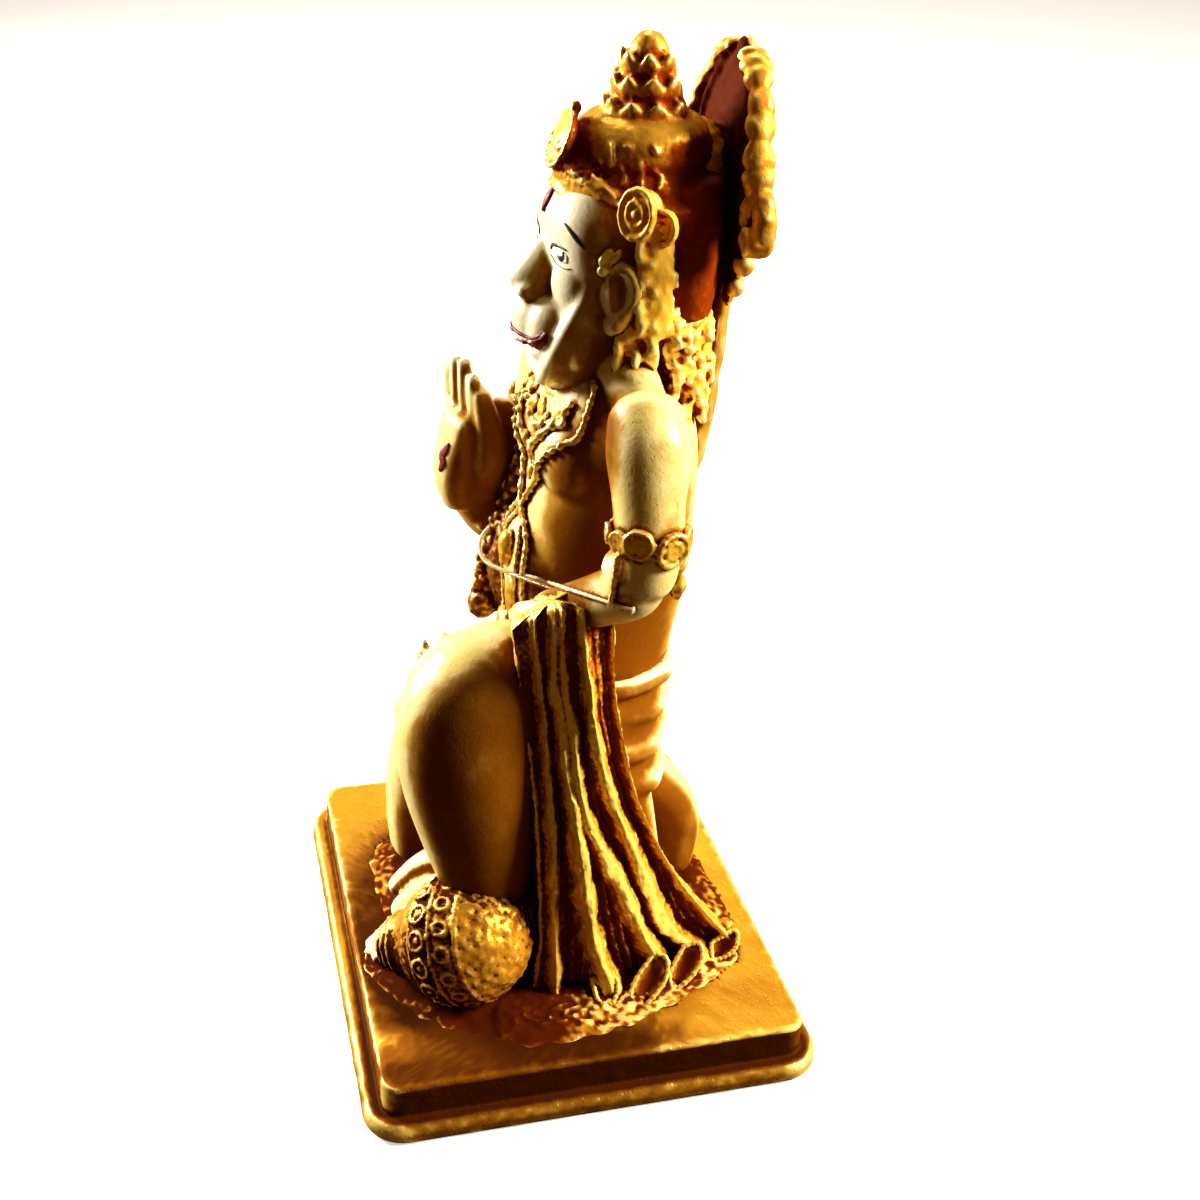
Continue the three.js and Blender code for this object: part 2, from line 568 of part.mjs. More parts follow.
function shawl() {
  const topRow = [[30, -17, 106], [34, -11, 111.5], [37, -4, 114.5], [38, 2, 113.5], [35.5, 6.5, 110]];
  const hemRow = [[40, -14, 0], [45, -3, 0], [46.5, 8, 0], [42.5, 22, 0], [39, 34, 0], [35.5, 46, 0]];
  const levels = 7;
  const rings = Array.from({ length: levels + 1 }, (_, level) => {
    const t = level / levels;
    const place = (s, inward) => {
      const top = along(topRow, s);
      const hem = along(hemRow, s);
      const belly = 3 * Math.sin(Math.PI * Math.min(t * 1.15, 1)) * (1 - 0.5 * s);
      return spot(top[0] + (hem[0] - top[0]) * t ** 1.9 + belly - inward,
        top[1] + (hem[1] - top[1]) * t ** 1.9, top[2] + (hem[2] - top[2]) * t ** 1.05);
    };
    const crest = 0.8 + 1.2 * t;
    const depth = 1 + 4.6 * t;
    const outer = pleatCrests.flatMap((middle, i) => {
      const gap = (pleatCrests[i + 1] ?? middle) - middle;
      const ridge = place(middle, -crest);
      return gap ? [ridge, place(middle + gap * 0.28, depth * 0.75), place(middle + gap * 0.75, depth)] : [ridge];
    });
    return [...outer, ...pleatCrests.map((middle) => place(middle, 9 + 5 * t)).reverse()];
  });
  const roundedTop = rings[0].map((point, i) => point.clone().lerp(rings[0][rings[0].length - 1 - i], 0.3)
    .add(new THREE.Vector3(-1.5 * part, 0, 1.6 * part)));
  return [skin([roundedTop, ...rings])];
}

// Mace: its pointed head lies by the left foot and its shaft runs back under the shawl
function mace() {
  const centre = [32, -28.5, 16.5];
  const axis = new THREE.Vector3(-0.48, -0.8, -0.36).normalize();
  const side = axis.clone().cross(new THREE.Vector3(0, 0, 1)).normalize();
  const up = side.clone().cross(axis);
  const head = turning([[0, -15.6], [6, -14.4], [11, -11], [14.4, -6], [15.6, 0], [14.8, 5.2], [12.2, 10], [9, 13.6],
    [8.4, 17], [6.8, 20.5], [3.8, 26], [0, 30.5]], centre, axis.toArray(), 14);
  const ringCount = 12;
  const rings = Array.from({ length: ringCount }, (_, i) => {
    const angle = 2 * Math.PI * i / ringCount;
    const out = side.clone().multiplyScalar(Math.cos(angle)).addScaledVector(up, Math.sin(angle))
      .multiplyScalar(0.95).addScaledVector(axis, 0.3).normalize();
    return boss(out.clone().multiplyScalar(15.3).add(new THREE.Vector3(...centre)).toArray(), out.toArray(),
      2.8, 1.2, 6);
  });
  return [head, ...rings];
}

// Jewellery: armlets, collar, a long chain that opens round the belly, and a garland

function armlet(side) {
  const centre = [side * 40.2, side > 0 ? 11 : 8, 134];
  const band = turning([[0, -1.7], [10.2, -1.7], [10.8, 0], [10.2, 1.7], [0, 1.7]], centre, [side * 0.12, -0.08, 1], 12);
  const discs = [[-62, 3, 0.4], [-30, 3.8, 1.5], [22, 4.6, -0.6]].map(([degrees, radius, rise]) => {
    const angle = THREE.MathUtils.degToRad(degrees);
    const out = [side * Math.cos(angle), Math.sin(angle), 0];
    return boss([centre[0] + 10.2 * out[0], centre[1] + 10.2 * out[1], centre[2] + rise], out, radius, 1.4, 9);
  });
  return [band, ...discs];
}

function chains() {
  const across = (rows, lift) => rows.map(([degrees, height]) => onTrunk(degrees, height, lift));
  return [
    turning([[0, -1.6], [13.8, -1.6], [14.4, 0], [13.8, 1.6], [0, 1.6]], [0, 11.5, 158.5], [0, -0.35, 1], 14),
    beads([[16, 6, 161], ...across([[42, 150], [26, 141], [12, 132], [2, 124]], 0.5)], 1.8, 10),
    beads([[-16, 6, 161], ...across([[-42, 150], [-26, 141], [-12, 132], [-2, 124]], 0.5)], 1.8, 10),
    beads(across([[30, 151], [14, 144], [0, 141], [-14, 144], [-30, 151]], 0.6), 1.7, 9),
    beads(across([[2, 124], [20, 117], [28, 106], [24, 94], [12, 88]], 0.6), 1.8, 9),
    beads(across([[-2, 124], [-14, 117], [-22, 106], [-20, 94], [-10, 88]], 0.6), 1.8, 9),
    egg([...onTrunk(0, 137.5, 0.4)], [3.2, 1.8, 3.8], [0, 0, 0], 6),
    egg([...onTrunk(9, 116, 0.6)], [3, 2.2, 4.4], [0, 0, 0], 6),
    egg([...onTrunk(4, 92, 1.5)], [5, 3.4, 3.6], [0, 0, 0], 6),
    egg([-13, -4, 99], [9, 10.5, 15], [0, 0, 0], 9),
    beads([[-16, 4, 160], onTrunk(-42, 147, 1), onTrunk(-40, 132, 1), onTrunk(-38, 118, 3), onTrunk(-34, 103, 6.5),
      onTrunk(-30, 91, 8)], 3, 11, 5),
    egg([...onTrunk(-29, 88, 8)], [4.2, 4.2, 4.4], [0, 0, 0], 6),
  ];
}

const tassels = () => [
  limb([[43, 17.5, 130, 1.6], [42, 19, 124, 2.6], [41, 19.5, 119, 1.8]], { facing: [0, -1, 0], sides: 5, steps: 2 }),
  beads([[45.5, 3.5, 130], [45, 3, 124], [43, 3, 119]], 1.3, 3),
];

// The rough ground that the figure is cast with, its edge broken and crusty
function ground() {
  const reach = [[0, -46], [14, -53], [26, -52.5], [40, -43], [50, -31], [57, -18], [58, -4], [56, 8], [53, 17],
    [46, 32], [38, 44], [22, 49], [4, 50], [-14, 47], [-28, 36], [-36, 18], [-40, 0], [-41, -20], [-38, -38], [-24, -47]];
  const count = 32;
  const ring = (grow, height, rough) => Array.from({ length: count }, (_, i) => {
    const [x, y] = along([...reach, reach[0]], i / count);
    const nudge = grow * (1 + rough * Math.sin(i * 2.4) * Math.cos(i * 5.1));
    return spot(x * nudge, y * nudge, height * (1 + 5 * rough * Math.sin(i * 3.7)));
  });
  return [skin([ring(0.99, -1, 0), ring(0.99, 1.2, 0.012), ring(0.92, 2.8, 0.02)])];
}

// Thread: a thin gold cord drawn tight round the waist, over the garland

function threadLoop(radius) {
  const route = [[0, -17.8], [9, -13.8], [17.5, -6.6], [23.8, 2], [24.6, 11.5], [21.6, 22], [13.5, 30.2], [0, 34.8],
    [-13.5, 30.2], [-21.6, 22], [-24.6, 11], [-23.8, 1], [-20.3, -8], [-16.5, -13.2], [-9, -17.2]];
  const path = new THREE.CatmullRomCurve3(route.map(([x, y]) => spot(x, y, 109 - 0.03 * x)), true);
  const section = new THREE.Shape(Array.from({ length: 5 }, (_, i) => {
    const angle = 2 * Math.PI * i / 5;
    return new THREE.Vector2(radius * Math.cos(angle), radius * Math.sin(angle));
  }));
  return solidOf(new THREE.ExtrudeGeometry(section, { steps: 44, extrudePath: path, bevelEnabled: false }));
}

// Plinth: a slab with a rounded rim on a wider flange
function plinth() {
  const ring = (inset, height) => {
    const half = [plinthLength / 2 + flangeWidth - inset, plinthWidth / 2 + flangeWidth - inset];
    const radius = Math.max(cornerRadius + flangeWidth - inset, 1);
    const steps = 3;
    return [[1, 1], [-1, 1], [-1, -1], [1, -1]].flatMap(([sx, sy], corner) =>
      Array.from({ length: steps + 1 }, (_, i) => {
        const angle = Math.PI / 2 * (corner + i / steps);
        return new THREE.Vector3(sx * (half[0] - radius) + radius * Math.cos(angle),
          sy * (half[1] - radius) + radius * Math.sin(angle), height);
      }));
  };
  const roundedEdge = (inset, height) => [0, 1, 2].map((i) => {
    const angle = Math.PI / 4 * i;
    return ring(inset + rimRadius * (1 - Math.cos(angle)), height - rimRadius * (1 - Math.sin(angle)));
  });
  return skin([
    ring(rimRadius / 2, 0),
    ring(0, rimRadius / 2),
    ...roundedEdge(0, flangeHeight),
    ring(flangeWidth, flangeHeight),
    ...roundedEdge(flangeWidth, plinthHeight),
  ]);
}

// A block over the whole plinth up to its top, which cuts the figure off flat where it stands
function belowFigure() {
  const block = new THREE.BoxGeometry(2 * plinthLength, 2 * plinthWidth, figureHeight);
  block.translate(0, 0, plinthHeight - figureHeight / 2);
  return solidOf(block);
}

function figure() {
  const whole = joined([trunk(), leftArm(), rightArm(), head(), crown(), halo(), tail(), hair(), leftLeg(), rightLeg(),
    dhoti(), shawl(), mace(), armlet(1), armlet(-1), chains(), tassels(), ground()].flat());
  return thinned(whole, figureTriangles).subtract(belowFigure())
    .subtract(threadLoop(threadDiameter / 2 + threadClearance));
}

function named(name, solid, material) {
  const mesh = new THREE.Mesh(geometryOf(solid), material);
  mesh.name = name;
  return mesh;
}

const model = new THREE.Group();
model.add(named('plinth', plinth(), goldPaint));
model.add(named('figure', figure(), ivory));
model.add(named('waist_thread', threadLoop(threadDiameter / 2), goldThread));

export default model;
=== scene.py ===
"""A cast and painted monkey god, half kneeling with one hand raised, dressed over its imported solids.

Lengths are written in millimetres on the figure's own axes: X to its left, Y to its back, and Z up
from the top of the plinth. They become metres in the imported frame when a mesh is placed.
"""

from __future__ import annotations

import json
import logging
import math
import time
from collections.abc import Callable, Sequence
from dataclasses import dataclass
from enum import Enum

import bpy
import numpy as np
from mathutils import Euler, Matrix, Vector, noise
from mathutils.bvhtree import BVHTree

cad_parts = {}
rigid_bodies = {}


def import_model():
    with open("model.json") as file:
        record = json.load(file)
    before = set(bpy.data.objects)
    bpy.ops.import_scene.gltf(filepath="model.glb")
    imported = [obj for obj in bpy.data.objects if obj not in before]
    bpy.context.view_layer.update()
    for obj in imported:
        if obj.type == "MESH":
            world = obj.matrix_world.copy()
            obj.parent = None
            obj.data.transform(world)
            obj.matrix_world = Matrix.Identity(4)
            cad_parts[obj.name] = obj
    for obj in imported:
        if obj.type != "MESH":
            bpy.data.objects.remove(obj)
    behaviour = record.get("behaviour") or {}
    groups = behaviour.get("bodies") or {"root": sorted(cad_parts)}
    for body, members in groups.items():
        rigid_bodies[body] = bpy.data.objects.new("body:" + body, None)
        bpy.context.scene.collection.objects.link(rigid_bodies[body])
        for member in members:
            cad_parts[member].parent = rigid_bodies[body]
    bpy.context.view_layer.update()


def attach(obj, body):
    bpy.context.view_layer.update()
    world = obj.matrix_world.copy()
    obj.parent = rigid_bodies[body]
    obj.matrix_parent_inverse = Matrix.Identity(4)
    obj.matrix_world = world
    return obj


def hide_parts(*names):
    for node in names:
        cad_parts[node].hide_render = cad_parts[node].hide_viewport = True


LOG = logging.getLogger("monkey_god")

MM = 0.001
PLINTH_TOP = 14.5
TOP = np.array([0.0, 0.0, PLINTH_TOP])
FRAME_PIXELS = 1200
SENSOR_WIDTH = 36
FRONT = (0, -1, 0)
BACK = (0, 1, 0)
SIDES = (1, -1)

Array = np.ndarray
Row = Sequence[float]
Shape = Callable[[Array, Array], Array]
Piece = bpy.types.Object
Socket = bpy.types.NodeSocket


class Slot(Enum):
    """The record's material slots."""

    PLINTH = "plinth_paint"
    FIGURE = "figure_paint"
    THREAD = "thread"


# Mesh tools


def unit(vectors: Array) -> Array:
    """Vectors scaled to length one."""
    vectors = np.asarray(vectors, float)
    return vectors / np.maximum(np.linalg.norm(vectors, axis=-1, keepdims=True), 1e-12)


def eased(before: Array, here: Array, after: Array, beyond: Array, share: Array) -> Array:
    """Places between two stations on a smooth curve, which the stations before and beyond them bend."""
    slope, next_slope = (after - before) / 2, (beyond - here) / 2
    return here + share * (slope + share * (3 * (after - here) - 2 * slope - next_slope
                                            + share * (2 * (here - after) + slope + next_slope)))


def along(rows: Sequence[Row], t: Array) -> Array:
    """Rows of numbers followed smoothly.

    Args:
        rows: Stations of equal length.
        t: Places from 0, the first station, to 1, the last.

    Returns:
        One row of numbers for each place.
    """
    table = np.asarray(rows, float)
    last = len(table) - 1
    place = np.clip(np.asarray(t, float), 0, 1) * last
    i = np.minimum(place.astype(int), last - 1)
    return eased(table[np.maximum(i - 1, 0)], table[i], table[i + 1], table[np.minimum(i + 2, last)],
                 (place - i)[..., None])


def distances(points: Array) -> Array:
    """How far along a line each of its points lies."""
    return np.concatenate([[0], np.cumsum(np.linalg.norm(np.diff(points, axis=0), axis=1))])


def mirrored(side: int, rows: Sequence[Row]) -> list[Row]:
    """Rows that start with x, on the figure's left for a side of 1 and mirrored to its right for -1."""
    return [(side * x, *rest) for x, *rest in rows]


def vectors(items: bpy.types.bpy_prop_collection, name: str) -> Array:
    """A vector property of mesh items, one row for each item."""
    values = np.empty(len(items) * 3, np.float32)
    items.foreach_get(name, values)
    return values.reshape(-1, 3).astype(float)


def points_of(piece: Piece) -> Array:
    """A piece's vertices in millimetres on the figure's axes."""
    return vectors(piece.data.vertices, "co") / MM - TOP


def move_points(piece: Piece, points: Array) -> None:
    """Puts a piece's vertices at places in millimetres on the figure's axes."""
    metres = (np.asarray(points, float) + TOP) * MM
    piece.data.vertices.foreach_set("co", metres.astype(np.float32).ravel())
    piece.data.update()


def normals_of(piece: Piece) -> Array:
    """A piece's vertex normals."""
    return vectors(piece.data.vertex_normals, "vector")


def only(pieces: Sequence[Piece]) -> None:
    """Selects these pieces alone and makes the first one active."""
    for other in bpy.context.selected_objects:
        other.select_set(False)
    for piece in pieces:
        piece.select_set(True)
    bpy.context.view_layer.objects.active = pieces[0]


def apply_modifier(piece: Piece, kind: str, **settings: object) -> None:
    """Adds a modifier with these settings and applies it."""
    only([piece])
    modifier = piece.modifiers.new(kind.lower(), kind)
    for key, value in settings.items():
        setattr(modifier, key, value)
    bpy.ops.object.modifier_apply(modifier=modifier.name)


def moulded(place: Shape, segments: int = 24, rings: int = 16) -> Piece:
    """A ball whose skin is pushed into shape, as clay is.

    Args:
        place: Gives the points for arrays of places along the ball, 0 to 1 from pole to pole, and angles round it.
        segments: How many faces go round.
        rings: How many faces go from pole to pole.

    Returns:
        The new piece.
    """
    bpy.ops.mesh.primitive_uv_sphere_add(segments=segments, ring_count=rings, radius=1.0)
    piece = bpy.context.object
    ball = vectors(piece.data.vertices, "co")
    move_points(piece, place(np.arccos(np.clip(ball[:, 2], -1, 1)) / math.pi, np.arctan2(ball[:, 1], ball[:, 0])))
    return piece


def section(angle: Array, roundness: float) -> Array:
    """The radius of a section at angles round it: a circle for 2, drawn to edges for less and boxy for more."""
    return (np.abs(np.cos(angle)) ** roundness + np.abs(np.sin(angle)) ** roundness) ** (-1 / roundness)


def limb(stations: Sequence[Row], facing: Row = (0, 0, 1), segments: int = 24, rings: int = 24,
         ends: float = 0.8, wave: Shape | None = None, roundness: float = 2.0) -> Piece:
    """A rounded length through stations of x, y, z, half width and, if given, half depth.

    Args:
        stations: The stations.
        facing: The half width lies across both the length and this direction.
        segments: How many faces go round.
        rings: How many faces go along.
        ends: How far each end is rounded out, in shares of its radius.
        wave: A factor on the radius for places along and angles round.
        roundness: The form of its section, 2 for a round one.

    Returns:
        The new piece.
    """
    rows = [[*row, row[3]] if len(row) == 4 else list(row) for row in stations]
    cap = min(0.25, 4 / rings)

    def place(t: Array, angle: Array) -> Array:
        """Places on the form, t from its start to its end and an angle round it."""
        s = np.clip((t - cap) / (1 - 2 * cap), 0, 1)
        row = along(rows, s)
        ahead = unit(along(rows, s + 0.01)[:, :3] - along(rows, s - 0.01)[:, :3])
        side = unit(np.cross(ahead, facing))
        up = np.cross(side, ahead)
        q = np.clip(np.minimum(t, 1 - t) / cap, 0, 1)
        factor = 1 if wave is None else wave(s, angle)
        swell = (np.sin(q * math.pi / 2) * section(angle, roundness) * factor)[:, None]
        out = np.cos(q * math.pi / 2) * ends * np.minimum(row[:, 3], row[:, 4]) * np.where(t < 0.5, -1, 1)
        return (row[:, :3] + ahead * out[:, None]
                + side * row[:, 3:4] * swell * np.cos(angle)[:, None]
                + up * row[:, 4:5] * swell * np.sin(angle)[:, None])

    return moulded(place, segments, rings)


def egg(centre: Row, radii: Row, turn: Row = (0, 0, 0), segments: int = 20, rings: int = 12) -> Piece:
    """An egg of three half sizes, turned by degrees about X, Y and Z."""
    matrix = np.array(Euler([math.radians(a) for a in turn]).to_matrix())

    def place(t: Array, angle: Array) -> Array:
        """Places on the form, t from its start to its end and an angle round it."""
        ball = np.stack([np.sin(t * math.pi) * np.cos(angle), np.sin(t * math.pi) * np.sin(angle),
                         np.cos(t * math.pi)], -1)
        return (ball * np.asarray(radii, float)) @ matrix.T + np.asarray(centre, float)

    return moulded(place, segments, rings)


def frame_about(pointing: Row) -> tuple[Array, Array, Array]:
    """Two directions across a third, so that a turned shape faces outwards."""
    ahead = unit(np.asarray(pointing, float))
    side = unit(np.cross(ahead, (0, 0, 1) if abs(ahead[2]) < 0.95 else (1, 0, 0)))
    return side, np.cross(side, ahead), ahead


def turned(profile: Sequence[Row], centre: Row, pointing: Row = (0, 0, 1), segments: int = 32,
           rings: int = 24, ripple: Shape | None = None) -> Piece:
    """A turned shape.

    Args:
        profile: Radius and height pairs, which start and end at radius 0.
        centre: Where height 0 is.
        pointing: The direction in which height counts.
        segments: How many faces go round.
        rings: How many faces go along.
        ripple: A factor on the radius for places along and angles round.

    Returns:
        The new piece.
    """
    side, up, ahead = frame_about(pointing)
    table = np.asarray(profile, float)
    steps = distances(table)
    steps /= steps[-1]

    def place(t: Array, angle: Array) -> Array:
        """Places on the form, t from its start to its end and an angle round it."""
        radius = np.interp(t, steps, table[:, 0])
        height = np.interp(t, steps, table[:, 1])
        if ripple is not None:
            radius = radius * ripple(t, angle)
        return (np.asarray(centre, float) + ahead * height[:, None]
                + side * (radius * np.cos(angle))[:, None] + up * (radius * np.sin(angle))[:, None])

    return moulded(place, segments, rings)


def widened(radius: float, profile: Sequence[Row]) -> list[Row]:
    """A profile whose radii are given in shares of one radius."""
    return [(radius * share, height) for share, height in profile]


def stretched(piece: Piece, middle: float, factor: float) -> Piece:
    """A piece made taller or flatter about a height."""
    points = points_of(piece)
    points[:, 2] = middle + (points[:, 2] - middle) * factor
    move_points(piece, points)
    return piece


def stack(rows: Sequence[Row], segments: int = 64, rings: int = 48, roundness: float = 2.0) -> Piece:
    """A closed body through level rows of height, middle, half width, reach to the front and to the back."""
    cap = 3 / rings

    def place(t: Array, angle: Array) -> Array:
        """Places on the form, t from its start to its end and an angle round it."""
        row = along(rows, (t - cap) / (1 - 2 * cap))
        q = np.clip(np.minimum(t, 1 - t) / cap, 0, 1)
        q = q * section(angle, roundness)
        reach = np.where(np.cos(angle) > 0, row[:, 3], row[:, 4]) * q
        return np.stack([row[:, 2] * q * np.sin(angle) * -1, row[:, 1] - reach * np.cos(angle), row[:, 0]], -1)

    piece = moulded(place, segments, rings)
    outward(piece)
    return piece


def outward(piece: Piece) -> None:
    """Turns a closed piece's faces outwards."""
    only([piece])
    bpy.ops.object.mode_set(mode="EDIT")
    bpy.ops.mesh.select_all(action="SELECT")
    bpy.ops.mesh.normals_make_consistent(inside=False)
    bpy.ops.object.mode_set(mode="OBJECT")


def joined(name: str, pieces: Sequence[Piece]) -> Piece:
    """Several pieces as one object."""
    only(pieces)
    if len(pieces) > 1:
        bpy.ops.object.join()
    return titled(name, bpy.context.view_layer.objects.active)


def titled(name: str, piece: Piece) -> Piece:
    """A piece whose object and mesh bear this name."""
    piece.name = piece.data.name = name
    return piece


def fused(name: str, pieces: Sequence[Piece], grain: float, smoothing: int = 2) -> Piece:
    """Pieces cast together into one skin.

    Args:
        name: The new piece's name.
        pieces: Closed forms that overlap.
        grain: The size of the skin's faces in millimetres.
        smoothing: How many times the skin is smoothed.

    Returns:
        The cast piece.
    """
    whole = joined(name, pieces)
    apply_modifier(whole, "REMESH", mode="VOXEL", voxel_size=grain * MM, adaptivity=0.0)
    if smoothing:
        apply_modifier(whole, "SMOOTH", factor=0.5, iterations=smoothing)
    smooth(whole)
    return whole


def smooth(piece: Piece) -> None:
    """Shades a piece's faces smoothly."""
    piece.data.polygons.foreach_set("use_smooth", np.ones(len(piece.data.polygons), bool))
    piece.data.update()


def new_piece(name: str, points: Array, faces: Sequence[Sequence[int]]) -> Piece:
    """A piece from its faces and from points in millimetres on the figure's axes."""
    mesh = bpy.data.meshes.new(name)
    mesh.from_pydata((points + TOP) * MM, [], faces)
    piece = bpy.data.objects.new(name, mesh)
    bpy.context.scene.collection.objects.link(piece)
    return piece


def copies(pattern: Piece, frames: Sequence[Array]) -> Piece:
    """A modelled form repeated, each copy with its own faces.

    Args:
        pattern: The form, modelled round its own origin. It is used up.
        frames: A matrix of three columns of directions and a fourth of the place for each copy.

    Returns:
        The copies as one piece.
    """
    base = points_of(pattern)
    faces = [[v + k * len(base) for v in face.vertices] for k in range(len(frames)) for face in pattern.data.polygons]
    points = np.concatenate([base @ frame[:, :3].T + frame[:, 3] for frame in frames])
    bpy.data.objects.remove(pattern)
    return new_piece("copies", points, faces)


def seat(centre: Row, outward_to: Row, ahead: Row, scale: float = 1.0) -> Array:
    """The matrix that sets a form, modelled with Z outwards and X ahead, on a surface.

    Args:
        centre: Its place.
        outward_to: The direction that its Z takes.
        ahead: The direction that its X leans to.
        scale: Its size against the modelled form.

    Returns:
        The matrix, three columns of directions and a fourth of the place.
    """
    z = unit(np.asarray(outward_to, float))
    y = np.cross(z, np.asarray(ahead, float))
    if np.linalg.norm(y) < 1e-3:
        y = np.cross(z, (0.3, 1, 0.1))
    y = unit(y)
    columns = np.stack([np.cross(y, z), y, z], 1) * scale
    return np.concatenate([columns, np.asarray(centre, float)[:, None]], 1)


def walk(points: Sequence[Row], spacing: float | None = None, count: int | None = None) -> tuple[Array, Array]:
    """Even steps along a smooth line.

    Args:
        points: The points that it runs through.
        spacing: The length of a step, or None where the count is given.
        count: How many places there are.

    Returns:
        The places, and the directions of the line there.
    """
    fine = along(points, np.linspace(0, 1, 40 * len(points)))
    steps = distances(fine)
    number = count or max(2, round(steps[-1] / spacing) + 1)
    where = np.linspace(0, steps[-1], number)
    places = np.stack([np.interp(where, steps, fine[:, k]) for k in range(fine.shape[1])], 1)
    return places, unit(np.gradient(places[:, :3], axis=0))


def lumps(points: Array, size: float, seed: float = 0.0) -> Array:
    """Soft noise from -1 to 1 whose lumps are about this size."""
    shift = Vector((seed * 7.31, seed * 3.17, seed * 5.23))
    return np.array([noise.noise(Vector(p) / size + shift) for p in points]) * 1.6


def carve(piece: Piece, depth: Shape) -> None:
    """Moves a piece's skin along its normals by a depth given for its points and normals."""
    points, normals = points_of(piece), normals_of(piece)
    move_points(piece, points + normals * depth(points, normals)[:, None])


def spray_painted_shade(piece: Piece, start: float, end: float, shade_pools: Sequence[Row] = (), arms: float = 1.0) -> None:
    """Writes where painted shade goes: brown where a surface turns to the figure's side, and in pools of shade.

    Args:
        piece: The piece.
        start: How far a surface turns to the figure's side where the painted shade begins.
        end: How far it turns there where the painted shade is full.
        shade_pools: More places with painted shade: x, y, z, a radius and a strength.
        arms: What is left of the painted shade on the outer side of the left arm.
    """
    points, normals = points_of(piece), normals_of(piece)
    values = np.clip((np.abs(normals[:, 0]) - start) / (end - start), 0, 1)
    values *= 1 - (1 - arms) * np.clip((points[:, 0] - 28) / 4, 0, 1)
    for x, y, z, radius, strength in shade_pools:
        away = np.linalg.norm(points - [x, y, z], axis=1) / radius
        values = np.maximum(values, np.minimum(strength * np.exp(-away ** 2), 1))
    write_attribute(piece, "shade_and_wash_mask", values)


def write_attribute(piece: Piece, name: str, values: Array) -> None:
    """Keeps a number for each vertex on the mesh."""
    attribute = piece.data.attributes.get(name) or piece.data.attributes.new(name, "FLOAT", "POINT")
    attribute.data.foreach_set("value", np.asarray(values, np.float32))


def surface_tree(pieces: Sequence[Piece]) -> BVHTree:
    """A search tree over the faces of several pieces, in millimetres on the figure's axes."""
    points, faces, start = [], [], 0
    for piece in pieces:
        points.append(points_of(piece))
        faces.extend([[v + start for v in face.vertices] for face in piece.data.polygons])
        start += len(points[-1])
    return BVHTree.FromPolygons(np.concatenate(points).tolist(), faces)


# Figure: the skin under its cloth and jewels


@dataclass
class Trunk:
    """The trunk, as level rows of height, middle, half width, and reach to the front and to the back."""

    rows: tuple[Row, ...] = (
        (54, 6, 20, 20, 20), (68, 8, 25, 22, 20), (84, 9.5, 24, 20, 20.5), (98, 10, 23, 22, 23),
        (112, 11, 24, 21.5, 23.5), (126, 12, 26, 19.5, 22.5), (138, 13, 29, 18.5, 21), (150, 13, 31, 16.5, 18.5),
        (162, 12, 18, 12, 12))

    def on(self, degrees: float, height: float, lift: float = 0.0) -> Array:
        """A place on the trunk's skin.

        Args:
            degrees: 0 at the front and 90 at the figure's left.
            height: The height.
            lift: How far the place stands off the skin.

        Returns:
            The place.
        """
        table = np.asarray(self.rows, float)
        row = [np.interp(height, table[:, 0], table[:, k]) for k in range(5)]
        angle = math.radians(degrees)
        reach = row[3] if math.cos(angle) > 0 else row[4]
        return np.array([(row[2] + lift) * math.sin(angle), row[1] - (reach + lift) * math.cos(angle), height])

    def build(self) -> list[Piece]:
        """The trunk, its chest and its neck."""
        return [
            stack(self.rows, 72, 64),
            limb([(0, 12, 152, 13), (0, 11, 172, 13)], FRONT),
            *[egg((side * 12, -0.6, 141), (13, 6.4, 9.5), (0, 0, side * 10)) for side in SIDES],
            egg((0, -4, 106), (17, 8.4, 17)),
            limb([(-30, 14, 158, 5), (-16, 12, 163, 7), (0, 12, 164, 8), (16, 12, 163, 7), (30, 14, 158, 5)], FRONT),
        ]


@dataclass
class Arms:
    """The left arm, bent to the waist, and the right one, raised in blessing."""

    palm_middle: float = -30.5
    palm_width: float = 14.8
    fingers: tuple[Row, ...] = ((-38.2, 12), (-33.2, 15), (-28.2, 16), (-23.4, 13.5))

    def left(self) -> list[Piece]:
        """The upper arm and forearm on the figure's left."""
        return [
            limb([(31, 13, 157, 9.0), (35.6, 12.6, 151, 9.8), (39.4, 12.0, 141, 8.3), (41, 12.0, 132, 8.1),
                  (41, 11.2, 124, 7.6)], FRONT, 40, 40),
            limb([(39.5, 9.5, 124, 8), (38.5, 9, 119, 7.4), (32, 3, 113, 6.4), (24, -6, 106, 5.8)], segments=32),
        ]

    def right(self) -> list[Piece]:
        """The arm that is raised, its palm to the front, and the web that casting has left behind it."""
        x = self.palm_middle
        hand = [limb([(x, -17, 112, 7, 6.2), (x, -18.8, 121, 9.5, 6.6), (x, -18.4, 136, 10.2, 3.8)],
                     FRONT, 32, 28, 0.4)]
        for place, length in self.fingers:
            back = 3.2 * ((place - self.fingers[0][0]) / self.palm_width) ** 1.5
            hand.append(limb([(place, back - 17.6, 132, 2.4), (place, back - 18.8, 134 + length * 0.5, 2.3),
                              (place, back - 19.4, 134 + length, 1.9)], FRONT, 16, 20, 0.9))
        hand.append(limb([(-26, -14, 118, 5), (-21.5, -12, 128, 4.4), (-21, -13, 137, 3.4), (-21.5, -14.5, 144, 2.4)],
                         FRONT, 20, 24))
        return [
            limb([(-31, 13, 157, 9.5), (-37, 11, 150, 11), (-41, 8, 137, 9.5), (-41, 5, 122, 8.5), (-39, 2, 108, 7.8)],
                 FRONT, 40, 40),
            limb([(-39, 3, 107, 8), (-35, -7, 104, 8), (-30.5, -16.5, 114, 6.8, 5.5)], segments=32),
            limb([(-27, -12, 122, 4.5, 19), (-30, -4, 121, 4.5, 17.5), (-34, 3, 124, 5, 15)], segments=40, ends=0.3),
            *hand,
        ]


